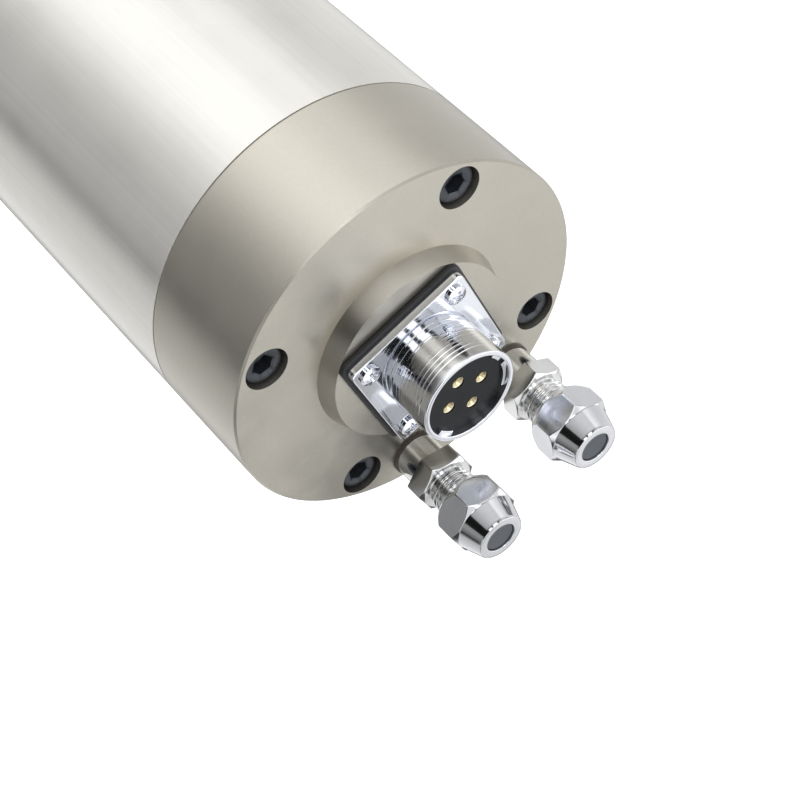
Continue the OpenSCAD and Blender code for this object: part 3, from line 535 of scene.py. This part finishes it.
FINISHES = (
    Finish(
        "tube_steel", (0.7, 0.69, 0.655), 0.21, Grain.DRAWN, metal=0.62, mark=0.025, wear=0.03, bump=0.004,
        gloss=0,
    ),
    Finish(
        "cap_steel", (0.5, 0.477, 0.42), 0.32, metal=0.9, mark=0.02, wear=0.04, bump=0.003,
        # Painted shade on the rear face beside the inlet fitting's foot, where the fitting and connector
        # shade it
        painted_shade=PaintedShade((0.026, 0.021, 0.25), 0.018, 0.36),
    ),
    Finish("cover_steel", (0.66, 0.65, 0.63), 0.24, Grain.TURNED, mark=0.08),
    Finish("inner_steel", (0.56, 0.57, 0.58), 0.3, Grain.TURNED, mark=0.1),
    Finish("shaft_steel", (0.68, 0.68, 0.68), 0.18, Grain.TURNED, mark=0.05),
    Finish("bearing_steel", (0.78, 0.79, 0.8), 0.1, Grain.TURNED, mark=0.03),
    Finish("collet_steel", (0.6, 0.6, 0.6), 0.2, Grain.TURNED),
    Finish("nut_steel", (0.5, 0.5, 0.5), 0.22, Grain.TURNED, stain=(0.35, 0.34, 0.33)),
    Finish("black_screws", (0.045, 0.052, 0.062), 0.38, metal=0.4, mark=0.2, wear=0.25, bump=0.04),
    Finish(
        "black_rubber", (0.02, 0.021, 0.024), 0.55, Grain.MOULDED, metal=0, mark=0.15, wear=0.3, bump=0.08,
        scale=2, rim=(0.42, 0.39, 0.34),
    ),
    Finish("seal_fibre", (0.1, 0.08, 0.065), 0.5, Grain.MOULDED, metal=0, mark=0.15, wear=0.25, bump=0.05),
    Finish("lamination", (0.3, 0.31, 0.33), 0.4, Grain.STACKED, mark=0.35, wear=0.15, bump=0.2, scale=0.6),
    Finish(
        "copper", (0.55, 0.24, 0.12), 0.3, Grain.WOUND, mark=0.35, wear=0.2, bump=0.2, scale=2, clear=0.5,
    ),
    Finish("rotor_aluminium", (0.7, 0.71, 0.72), 0.4, mark=0.08, wear=0.1, bump=0.06),
    Finish("cage_resin", (0.36, 0.22, 0.1), 0.45, Grain.MOULDED, metal=0, mark=0.2, wear=0.2),
    Finish("connector_nickel", (0.8, 0.82, 0.87), 0.08, mark=0.015, wear=0.03, bump=0.002),
    Finish("fitting_nickel", (0.76, 0.765, 0.765), 0.15, mark=0.02, wear=0.1, bump=0.002),
    Finish("nut_nickel", (0.7, 0.71, 0.735), 0.11, mark=0.02, wear=0.08, bump=0.002),
    Finish(
        "insulator", (0.018, 0.019, 0.021), 0.32, Grain.MOULDED, metal=0, mark=0.2, wear=0.2, bump=0.05,
        gloss=0.12,
    ),
    Finish("contact_gold", (0.95, 0.86, 0.6), 0.36, Grain.TURNED, mark=0.05),
    Finish("ferrule_brass", (0.7, 0.52, 0.22), 0.25, Grain.TURNED, mark=0.08),
    Finish("plug_plastic", (0.08, 0.09, 0.105), 0.5, Grain.MOULDED, metal=0, wear=0.08, bump=0.05),
)


# Sub-assemblies


@dataclass(frozen=True)
class SocketScrew:
    """A socket head cap screw, head up on its own axis, with a knurled head and a hexagonal socket.

    rib_depth and bare_top are shares of the head's diameter. slack is taken off the shank's radius.
    """

    head: float
    height: float
    thread: float
    length: float
    socket: float
    depth: float
    ribs: int = 36
    rib_depth: float = 0.015
    bare_top: float = 0.13
    bare_foot: float = 0.25
    chamfer: Span = (0.3, 0.28)
    tip: float = 0.5
    slack: float = 0.02

    def line(self) -> Array:
        """The screw's profile from its tip to the middle of the socket's floor."""
        wall = Hexagon(self.socket).corner
        edge = wall + self.chamfer[0]
        shank = self.thread / 2 - self.slack
        floor = self.height - self.depth
        inner = [
            (0, floor - self.socket * 0.2), (wall, floor, 0, 0.6), (wall, self.height - self.chamfer[1]),
            (edge, self.height),
        ]
        outer = [
            (edge, self.height), (self.head / 2, self.height, self.head * 0.1), (self.head / 2, 0, 0.15),
            (shank, 0), (shank, self.tip - self.length, 0.1), (self.thread / 2 - self.tip, -self.length),
            (0, -self.length),
        ]
        bottom = profile(inner, closed=False)[:-1]
        return np.concatenate([bottom, profile(outer, closed=False, steps=5)])[::-1]

    def add(self, skin: Skin, place: Triple, up: bool, turn: float) -> None:
        """Adds one screw to a skin.

        The socket's rows follow a hexagon up to their own radius, and the head's side is wavy: its radius
        loses 1.5 % of the head's diameter at the bottom of each rib.

        Args:
            skin: what it is added to.
            place: where its axis meets the face under its head.
            up: whether the head is above that face or below it.
            turn: angle of its socket in degrees.
        """
        hexagon = Hexagon(self.socket, turn)
        top = self.height - self.head * self.bare_top

        def rule(angle: Array, r: Array, z: Array) -> Array:
            """Hexagon in the socket, ribs on the side."""
            in_socket = (r <= hexagon.corner + 1e-6) & (z > self.height - self.depth - 1e-6)
            ribbed = (r > self.head / 2 - 1e-3) & (z > self.bare_foot) & (z < top)
            ribs = self.head * self.rib_depth * (0.5 - 0.5 * np.cos(self.ribs * angle))
            flat = np.minimum(hexagon.radius(angle), r)
            return np.where(in_socket, flat, np.where(ribbed, r - ribs, r))

        one = Skin()
        one.revolve(self.line(), self.ribs * 4, rule, closed=False)
        skin.join(one, not up, place)


@dataclass
class Screws:
    """A ring of socket screws that share one CAD node: the radius of their circle, their angles on it, the
    height of the seat under their heads, whether the heads are above it, and their sockets' angles."""

    node: str
    screw: SocketScrew
    circle: float
    angles: tuple[float, ...]
    seat: float
    up: bool
    turns: tuple[float, ...]

    def build(self, finishes: Finisher) -> None:
        """Makes the ring of screws."""
        skin = Skin()
        for angle, turn in zip(self.angles, self.turns):
            a = math.radians(angle)
            place = (self.circle * math.cos(a), self.circle * math.sin(a), self.seat)
            self.screw.add(skin, place, self.up, turn)
        skin.piece(self.node, "turned", finishes["black_screws"])


@dataclass(frozen=True)
class CrossScrew:
    """A small screw with a domed head and a cross recess, on a plain shank.

    head and shank are radii. slot and reach are half the width and half the length of the cross, each with
    how far its walls slope in.
    """

    head: float = 2.2
    shank: float = 1.25
    length: float = 7.0
    crown: float = 1.08
    sag: float = 0.09
    recess: float = 0.6
    slot: Span = (0.34, 0.12)
    reach: Span = (1.25, 0.3)
    edge: float = 0.5
    columns: int = 96

    def add(self, skin: Skin, x: float, y: float, seat: float, turn: float) -> None:
        """Adds one screw to a skin.

        The head's height is a dome less a cross: crown - sag r^2 - recess s, where s is 1 in the middle of
        two crossed slots and falls to 0 along their sloping walls and ends.

        Args:
            skin: what it is added to.
            x: place of its axis.
            y: place of its axis.
            seat: height of the face under its head.
            turn: angle of its cross in degrees.
        """
        radii = np.concatenate([np.linspace(0.06, 1.5, 22), np.linspace(1.6, self.head - 0.12, 6)])
        ring = np.arange(self.columns) * TAU / self.columns
        angle, r = np.meshgrid(ring + math.radians(turn), radii)
        u, v = np.abs(r * np.cos(angle)), np.abs(r * np.sin(angle))
        slots = [
            np.clip((self.slot[0] - across) / self.slot[1], 0, 1)
            * np.clip((self.reach[0] - along) / self.reach[1], 0, 1)
            for across, along in ((u, v), (v, u))
        ]
        z = self.crown - self.sag * r**2 - self.recess * np.maximum(*slots)
        under = [
            [self.head, self.edge], [self.head, 0.08], [self.head - 0.08, 0.005], [self.shank, 0.005],
            [self.shank, 0.4 - self.length], [self.shank - 0.4, -self.length],
        ]
        under_r, under_z = np.repeat(np.transpose(under)[..., None], self.columns, axis=2)
        r, z = np.concatenate([r, under_r]), np.concatenate([z, under_z])
        xyz = np.stack([x + r * np.cos(ring), y + r * np.sin(ring), seat + z], axis=-1)
        tip = (x, y, seat - self.length)
        middle = (x, y, seat + self.crown - self.recess)
        skin.grid(xyz[::-1], False, tip, middle)


@dataclass
class Connector:
    """The round connector on the boss: gasket, flange and threaded barrel, contacts and small screws.

    pad and side are the sides of gasket and flange. neck, barrel, bore, tail and contact are radii. z, end,
    face, top, floor and rim tell heights. keys are first and last angles, screw_turns the sides in x and y
    and the cross's angle.
    """

    pad: float = 30.0
    pad_corner: float = 2.0
    pad_bulge: float = 0.35
    pad_z: Span = (254.1, 255.4)
    side: float = 28.3
    corner: float = 1.2
    flange_z: Span = (255.4, 257.4)
    neck: float = 9.9
    neck_end: float = 258.6
    barrel: float = 10.5
    rim: float = 269.2
    bore: float = 9.4
    tail: float = 8.6
    tail_bore: float = 7.5
    tail_end: float = 240.1
    insert_face: float = 267.9
    key_top: float = 268.6
    keys: tuple[Span, ...] = ((19, 42), (138, 179), (190, 206))
    key_in: float = 0.9
    screw_at: float = 11.0
    screw_turns: tuple[Triple, ...] = ((1, 1, 20), (-1, 1, 65), (-1, -1, 40), (1, -1, 10))
    contact: float = 1.35
    contact_z: Span = (236.1, 267.6)
    contact_hole: float = 0.6
    contact_floor: float = 259.9
    contact_circle: float = 4.2
    columns: int = 288

    def gasket(self, finishes: Finisher) -> None:
        """Makes the rubber gasket: a rounded square whose side bulges a little between its faces."""
        skin = Skin()
        low, high = self.pad_z
        rise = np.linspace(-1, 1, 9)
        side = self.pad / 2 - self.pad_bulge * rise**4
        height = (low + high) / 2 + (high - low) / 2 * rise
        hole = self.tail + 0.3
        line = np.concatenate([np.stack([side, height], axis=-1), [[hole, high], [hole, low]]])
        ratio = rounded_square(self.pad, self.pad_corner, self.columns) / (self.pad / 2)
        skin.revolve(line, self.columns, lambda a, r, z: np.where(r > self.tail + 1, r * ratio[None], r))
        skin.piece("connector_gasket", "soft", finishes["black_rubber"])

    def shell(self, finishes: Finisher) -> None:
        """Makes the flange, the threaded barrel and the tail as one turned surface.

        The rows of the flange are stretched from a circle to a rounded square: at half side h the factor is
        the square's distance at each angle over h, eased in with the distance from the neck.
        """
        skin = Skin()
        low, high = self.flange_z
        half = self.side / 2
        rows = [
            (self.tail, low), (half, low, 0.1), (half, high, 0.16), (self.neck + 0.35, high, 0.12),
            (self.neck + 0.1, high - 0.12, 0.05), (self.neck, high + 0.2, 0.1),
            (self.neck, self.neck_end, 0.08), (self.barrel, self.neck_end + 0.25, 0.12, 0.05),
            (self.barrel, self.rim, 0.22), (self.bore, self.rim, 0.16), (self.bore, low + 0.8),
            (self.tail_bore, low + 0.8), (self.tail_bore, self.tail_end, 0.1),
            (self.tail, self.tail_end, 0.2),
        ]
        ratio = rounded_square(self.side, self.corner, self.columns) / half
        thread = Thread(
            pitch=1.0, depth=0.014, start=self.neck_end + 0.3, end=self.rim - 1.1, fade=0.6, groove=0.5,
        )

        def rule(angle: Array, r: Array, z: Array) -> Array:
            """Square flange, threaded barrel."""
            square = np.clip((r - self.neck - 1.0) / (half - self.neck - 1.0), 0, 1)
            on_flange = z < high + 0.05
            on_barrel = (r > self.barrel - 0.05) & (z > self.neck_end)
            stretched = r * (1 + (ratio[None] - 1) * square)
            return np.where(on_flange, stretched, np.where(on_barrel, r - thread.cut(angle, z), r))

        skin.revolve(profile(rows), self.columns, rule)
        for start, end in self.keys:
            self.key(skin, start, end)
        skin.piece("connector_shell", "threaded", finishes["connector_nickel"])

    def key(self, skin: Skin, start: float, end: float) -> None:
        """Adds one key inside the rim: a rounded box carried along an arc round the axis.

        Args:
            skin: what it is added to.
            start: its first angle in degrees.
            end: its last angle in degrees.
        """
        inner = self.bore - self.key_in
        outer = self.bore + 0.3
        low, high = self.insert_face, self.key_top
        box = profile([(outer, low), (outer, high), (inner, high, 0.15), (inner, low)])[::-1]
        angle = np.radians(np.linspace(start, end, 16))[:, None]
        r = np.repeat(box[None, :, 0], len(angle), axis=0)
        z = np.repeat(box[None, :, 1], len(angle), axis=0)
        xyz = np.stack([r * np.cos(angle), r * np.sin(angle), z], axis=-1)
        skin.grid(xyz, False, tuple(xyz[0].mean(axis=0)), tuple(xyz[-1].mean(axis=0)))

    def contacts(self, finishes: Finisher) -> None:
        """Makes the four contact sleeves, with a countersunk mouth and a bore."""
        skin = Skin()
        foot, top = self.contact_z
        rows = [
            (0, foot), (self.contact, foot, 0.2), (self.contact, top, 0.1),
            (self.contact - 0.12, top, 0.08), (self.contact_hole, top - 0.7, 0.2),
            (self.contact_hole, self.contact_floor, 0.1), (0, self.contact_floor - 0.3),
        ]
        line = profile(rows, closed=False)
        for i in range(4):
            a = i * TAU / 4
            centre = (self.contact_circle * math.cos(a), self.contact_circle * math.sin(a))
            skin.revolve(line, 40, None, False, centre)
        skin.piece("connector_contacts", "turned", finishes["contact_gold"])

    def screws(self, finishes: Finisher) -> None:
        """Makes the four small screws on the flange."""
        skin = Skin()
        for side_x, side_y, turn in self.screw_turns:
            CrossScrew().add(skin, side_x * self.screw_at, side_y * self.screw_at, self.flange_z[1], turn)
        skin.piece("connector_screws", "domed", finishes["connector_nickel"])

    def build(self, finishes: Finisher) -> None:
        """Makes all pieces of the connector."""
        for make in (self.gasket, self.shell, self.contacts, self.screws):
            make(finishes)


@dataclass
class WaterFitting:
    """One water fitting: its body with hexagon and thread, its nut and its plug.

    corner is the angle of a corner of both hexagons. blends are the widths over which the hexagons of body
    and nut go over into their turned ends.
    """

    name: str
    corner: float
    at: Span
    fitting_af: float = 12.0
    fitting_z: Span = (256.55, 261.05)
    collar: float = 5.0
    undercut: float = 4.4
    thread_z: Span = (262.0, 272.2)
    nut_af: float = 14.0
    nut_z: Span = (265.31, 274.0)
    nut_bore: float = 5.05
    blends: Span = (0.07, 0.06)
    columns: int = 240

    def body(self, finishes: Finisher) -> None:
        """Makes the body: neck, collar, hexagon, undercut, thread and water way."""
        skin = Skin()
        hexagon = Hexagon(self.fitting_af, self.corner)
        corner, collar, undercut = hexagon.corner, self.collar, self.undercut
        low, high = self.fitting_z
        start, end = self.thread_z
        rows = [
            (2, 241), (4, 241, 0.3), (4, 250.62), (collar, 250.62, 0.12), (collar, 256.58, 0.06),
            (corner, 256.62, 0.06, 0.6), (corner, 260.3, 0, 0.1), (5.75, 261.1, 0.1), (4.5, 261.1, 0.1),
            (undercut, 262.1, 0.2), (5, 262.6, 0.05, 0.07), (5, 271.7, 0.1), (4.75, 272, 0.05),
            (undercut, 272, 0.05), (3.4, 270.8), (3.4, 267), (2, 267),
        ]
        thread = Thread(pitch=1.0, depth=0.48, start=start, end=end, fade=0.5)

        def rule(angle: Array, r: Array, z: Array) -> Array:
            """Hexagon under the turned ends, thread above it."""
            on_hexagon = (z > low) & (z < high) & (r > collar + 0.1)
            on_thread = (z > start) & (r > undercut - 0.1)
            sides = soft_min(hexagon.radius(angle), r, self.blends[0])
            return np.where(on_hexagon, sides, np.where(on_thread, r - thread.cut(angle, z), r))

        skin.revolve(profile(rows), self.columns, rule, centre=self.at)
        skin.piece(f"{self.name}_fitting", "turned", finishes["fitting_nickel"])

    def nut(self, finishes: Finisher) -> None:
        """Makes the nut: a hexagon cut by two cones, which leaves scallops, and a rounded nose."""
        skin = Skin()
        hexagon = Hexagon(self.nut_af, self.corner)
        corner, bore = hexagon.corner, self.nut_bore
        low, high = self.nut_z
        rows = [
            (bore, 265.3, 0.1), (5.5, 265.3, 0.15), (7.0, 266.9, 0.2, 0.1), (corner, 268.6, 0, 0.5),
            (corner, 272.5, 0, 0.08), (6.85, 273.6, 0.12, 0.15), (5.42, 278.0, 0.2), (5.2, 278.4, 0.1),
            (3.48, 278.4, 0.05), (3.4, 278.3, 0.04), (3.4, 276.0), (bore, 272.4, 0.1),
        ]

        def rule(angle: Array, r: Array, z: Array) -> Array:
            """Hexagon on the outside only."""
            outside = (r > bore + 0.15) & (z > low) & (z < high)
            return np.where(outside, soft_min(hexagon.radius(angle), r, self.blends[1]), r)

        skin.revolve(profile(rows, steps=5), self.columns, rule, centre=self.at)
        skin.piece(f"{self.name}_nut", "turned", finishes["nut_nickel"], f"{self.name}_nut")

    def plug(self, finishes: Finisher) -> None:
        """Makes the plug, with a rounded edge and a face that is a little hollow."""
        skin = Skin()
        rows = [(0, 269), (2.85, 269, 0.1), (3.35, 269.5, 0.1), (3.35, 278, 0.3), (2.6, 277.94), (0, 277.9)]
        skin.revolve(profile(rows, closed=False), 96, None, False, self.at)
        skin.piece(f"{self.name}_plug", "moulded", finishes["plug_plastic"], f"{self.name}_plug")

    def build(self, finishes: Finisher) -> None:
        """Makes all pieces of the fitting."""
        for make in (self.body, self.nut, self.plug):
            make(finishes)


@dataclass
class ToolEnd:
    """The shaft with its threaded nose and wrench flats, and the collet nut.

    mouth is where the collet's taper opens. Beyond the radius nut_outside the nut is a hexagon.
    """

    nose: float = 12.5
    mouth: Span = (10.24, 8.49)
    thread_z: Span = (9.0, 20.6)
    collar: float = 15.0
    flats: float = 27.0
    flat_z: Span = (22.0, 28.5)
    nut_af: float = 30.0
    nut_outside: float = 13.5
    nut_blend: float = 0.3
    columns: int = 240

    def shaft(self, finishes: Finisher) -> None:
        """Makes the shaft as one turned surface with a thread and two flats."""
        skin = Skin()
        nose, collar = self.nose, self.collar
        low, high = self.flat_z
        start, end = self.thread_z
        rows = [
            self.mouth, (11.7, 8.49, 0.1), (nose, 9.29, 0.1, 0.11), (nose, 20.2, 0.1),
            (nose - 0.8, 20.6, 0.1), (nose - 0.8, low, 0.2), (collar, low, 0.25, 0.6), (collar, high),
            (collar, high + 0.02), (collar, 40.9, 0.2), (12.5, 40.9), (12.5, 72.9, 0.2), (12, 72.9),
            (12, 81.9, 0.3), (11.8, 82.1), (11.8, 94.9, 0.2), (10.5, 94.9), (10.5, 189.9, 0.3), (9, 189.9),
            (9, 200.9, 0.2), (7.5, 200.9), (7.5, 219, 0.2), (7, 219), (7, 226, 0.2), (6, 227, 0.2), (0, 227),
        ]
        hole = profile([(0, 50), (5.6, 50, 0.1), (5.6, 34), (6.66, 34, 0.1), self.mouth], closed=False)
        thread = Thread(pitch=1.5, depth=0.75, start=start, end=end, fade=1.0)

        def rule(angle: Array, r: Array, z: Array) -> Array:
            """Flats on the collar, thread on the nose."""
            flat = self.flats / 2 / np.maximum(np.abs(np.cos(angle)), 1e-6)
            on_flat = (z < high + 0.01) & (z > low - 0.01) & (r > nose - 0.2)
            on_nose = (z > start) & (z < end) & (r > nose - 0.1)
            return np.where(on_flat, np.minimum(r, flat), np.where(on_nose, r - thread.cut(angle, z), r))

        line = np.concatenate([hole[:-1], profile(rows, closed=False)])
        skin.revolve(line, self.columns, rule, closed=False)
        skin.piece("shaft", "threaded", finishes["shaft_steel"], "rotor")

    def nut(self, finishes: Finisher) -> None:
        """Makes the collet nut: a hexagon with turned ends and the ring that pulls the collet."""
        skin = Skin()
        rows = [
            (9.6, 1, 0.2), (14.3, 1, 0.3, 0.2), (17, 5, 0, 0.8), (17, 19.3, 0, 0.15), (16.3, 20, 0.1),
            (12.9, 20, 0.15), (12.55, 19.65), (12.55, 7.9), (10.8, 7.9), (10.8, 6.3), (9.5, 4.3),
            (8.9, 4.3), (8.9, 2.5), (9.6, 2.5),
        ]
        hexagon = Hexagon(self.nut_af, 30)

        def rule(angle: Array, r: Array, z: Array) -> Array:
            """Hexagon on the outside only."""
            return np.where(r > self.nut_outside, soft_min(hexagon.radius(angle), r, self.nut_blend), r)

        skin.revolve(profile(rows, steps=5), self.columns, rule)
        skin.piece("collet_nut", "turned", finishes["nut_steel"], "collet_nut")

    def build(self, finishes: Finisher) -> None:
        """Makes both pieces."""
        self.shaft(finishes)
        self.nut(finishes)


# Studio


@dataclass(frozen=True)
class Panel:
    """A soft panel of the studio, by its azimuth and elevation in degrees, and the light it adds.

    slope is how much brighter its side of growing azimuth is than its middle. A level below nothing is a
    dark card.
    """

    name: str
    azimuth: float
    half: float
    edge: float
    level: float
    slope: float = 0.0
    low: float = -90.0
    high: float = 8.0
    fade: float = 22.0


@dataclass
class Studio:
    """Pale floor, soft light and the camera."""

    base: float = 0.06
    panels: tuple[Panel, ...] = (
        Panel("ground", 0, 180, 1, 0.14),
        Panel("key", 250, 2, 70, 1.62, high=-8, fade=24),
        Panel("fill", 320, 12, 16, 0.15),
        Panel("strip", 36, 28, 9, 0.66, 0.24),
        Panel("line", 354, 1.5, 4, -0.2, high=-8, fade=24),
        Panel("haze", 354, 18, 6, 0.4, low=22, high=50, fade=8),
        Panel("glow", 148, 6, 8, 1.4, low=22, high=50, fade=8),
        Panel("side haze", 214, 12, 6, 0.6, low=22, high=50, fade=8),
        Panel("side lamp", 279, 6, 4, 1.7, low=26, high=50, fade=8),
        Panel("wall", 168, 44, 12, 0.62, -0.1),
        Panel("card", 306, 12, 5, -0.6, low=-12, high=50, fade=8),
        Panel("ceiling", 129, 61, 12, 0.82, low=27, high=90, fade=7),
        Panel("window", 120, 21, 8, 0.16, low=12, high=50, fade=10),
        Panel("corner", 89, 4.5, 3, -0.4, low=33, high=40, fade=3),
        Panel("lamp", 250, 7, 6, 2.0, low=24, high=58, fade=12),
        Panel("top", 0, 180, 1, 0.9, low=52, high=90, fade=12),
    )
    location: Triple = (29.840, -313.082, 462.875)
    right: Triple = (-0.725035, 0.342407, 0.597563)
    up: Triple = (-0.686589, -0.427423, -0.588137)
    back: Triple = (0.054030, -0.836700, 0.544989)
    lens: float = 88.588
    sensor: float = 36.0
    clip: Span = (0.01, 50.0)
    least_light: float = 0.01
    floor_half: float = 6.0
    floor_z: float = -0.0062

    def world(self) -> None:
        """Builds the light round the object: white to the camera, panels by direction to everything else.

        A panel adds level + slope * d / half, where d is the azimuth from its middle, times a smooth step
        that falls from 1 to 0 over its edge, times two smooth steps in elevation.
        """
        world = bpy.data.worlds.new("studio")
        bpy.context.scene.world = world
        s = Shader(world)
        split = s.add("ShaderNodeSeparateXYZ", {0: s.add("ShaderNodeTexCoord").outputs["Generated"]})
        azimuth = s.math("ARCTAN2", split.outputs[1], split.outputs[0])
        elevation = s.math("ARCSINE", split.outputs[2])
        total: object = self.base
        for panel in self.panels:
            LOG.info("panel %s", panel.name)
            away = s.math("SUBTRACT", azimuth, math.radians(panel.azimuth))
            away = s.math("WRAP", away, math.pi, -math.pi)
            half, edge, fade = (math.radians(v) for v in (panel.half, panel.edge, panel.fade))
            low, high = math.radians(panel.low), math.radians(panel.high)
            level = s.math("MULTIPLY_ADD", away, panel.slope / half, panel.level)
            for value, start, end in (
                (s.math("ABSOLUTE", away), half + edge, half), (elevation, low - fade, low),
                (elevation, high + fade, high),
            ):
                level = s.math("MULTIPLY", level, s.step(value, start, end))
            total = s.math("ADD", total, level)
        mixed = s.math("MAXIMUM", total, self.least_light)
        seen = s.add("ShaderNodeLightPath").outputs["Is Camera Ray"]
        strength = s.math("ADD", s.math("MULTIPLY", mixed, s.math("SUBTRACT", 1.0, seen)), seen)
        light = s.add("ShaderNodeBackground", {"Color": (1, 1, 1, 1), "Strength": strength})
        s.close(light.outputs[0])

    def floor(self) -> None:
        """Lays the floor: a plain square that is white where no shadow falls, and clear to reflections.

        It lies just under the lowest place that the collet reaches when its nut is unscrewed.
        """
        mesh = bpy.data.meshes.new("floor")
        half, z = self.floor_half, self.floor_z
        corners = [(-half, -half, z), (half, -half, z), (half, half, z), (-half, half, z)]
        mesh.from_pydata(corners, [], [(0, 1, 2, 3)])
        material = bpy.data.materials.new("floor")
        s = Shader(material)
        paint = s.add("ShaderNodeBsdfDiffuse", {"Color": (0.85, 0.85, 0.85, 1)})
        glow = s.add("ShaderNodeEmission", {"Color": (1, 1, 1, 1), "Strength": 0.5})
        lit = s.add("ShaderNodeAddShader", {0: paint.outputs[0], 1: glow.outputs[0]})
        clear = s.add("ShaderNodeBsdfTransparent")
        path = s.add("ShaderNodeLightPath")
        bounce = s.math("MAXIMUM", path.outputs["Is Glossy Ray"], path.outputs["Is Transmission Ray"])
        mixed = s.add("ShaderNodeMixShader", {0: bounce, 1: lit.outputs[0], 2: clear.outputs[0]})
        s.close(mixed.outputs[0])
        mesh.materials.append(material)
        floor = bpy.data.objects.new("floor", mesh)
        bpy.context.scene.collection.objects.link(floor)

    def camera(self) -> None:
        """Places the camera where the photo was taken."""
        data = bpy.data.cameras.new("camera")
        data.lens = self.lens
        data.sensor_width = self.sensor
        data.clip_start, data.clip_end = self.clip
        camera = bpy.data.objects.new("camera", data)
        turn = Matrix((self.right, self.up, self.back)).transposed().to_4x4()
        turn.translation = [v * MM for v in self.location]
        camera.matrix_world = turn
        bpy.context.scene.collection.objects.link(camera)
        bpy.context.scene.camera = camera

    def build(self) -> None:
        """Makes the studio and sets the plain view transform."""
        self.world()
        self.floor()
        self.camera()
        bpy.context.scene.view_settings.view_transform = "Standard"


def finish_nodes(nodes: dict[str, bpy.types.Object], finishes: Finisher) -> None:
    """Puts the finish of each CAD node's slot into its material slot.

    Args:
        nodes: the CAD's objects by name.
        finishes: the finishes by slot.
    """
    for name, obj in nodes.items():
        for slot in obj.material_slots:
            slot.material = finishes[slot.material.name.split(".")[0]]
        LOG.info("%s: finish %s", name, obj.material_slots[0].material.name)


def main() -> None:
    """Builds the spindle's visual model in order: finishes, pieces, studio."""
    logging.basicConfig(level=logging.INFO, format="%(message)s")
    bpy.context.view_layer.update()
    # Frees the slots' names for the finishes
    for material in list(bpy.data.materials):
        material.name += ".frame"
    finishes = Finisher(FINISHES)
    finish_nodes(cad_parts, finishes)
    quarter = (0.0, 90.0, 180.0, 270.0)
    diagonal = tuple(a + 45 for a in quarter)
    m5 = SocketScrew(head=8.5, height=5.0, thread=5.0, length=30.0, socket=4.0, depth=3.0)
    m5_short = replace(m5, length=16.0)
    m3 = SocketScrew(head=5.5, height=3.0, thread=3.0, length=10.0, socket=2.5, depth=1.7)
    for assembly in (
        Screws("rear_cap_screws", m5, 34.25, diagonal, 243.8, True, (12, 40, 25, 50)),
        Screws("front_flange_screws", m5_short, 34.25, quarter, 42.3, False, (5, 20, 48, 33)),
        Screws("front_cover_screws", m3, 27.5, diagonal, 35.1, False, (8, 30, 52, 17)),
        Connector(),
        WaterFitting("inlet", 35.0, (12.997, 31.688)),
        WaterFitting("outlet", 72.0, (-12.997, 31.688)),
        ToolEnd(),
    ):
        assembly.build(finishes)
    Studio().build()


if __name__ == "__main__":
    main()
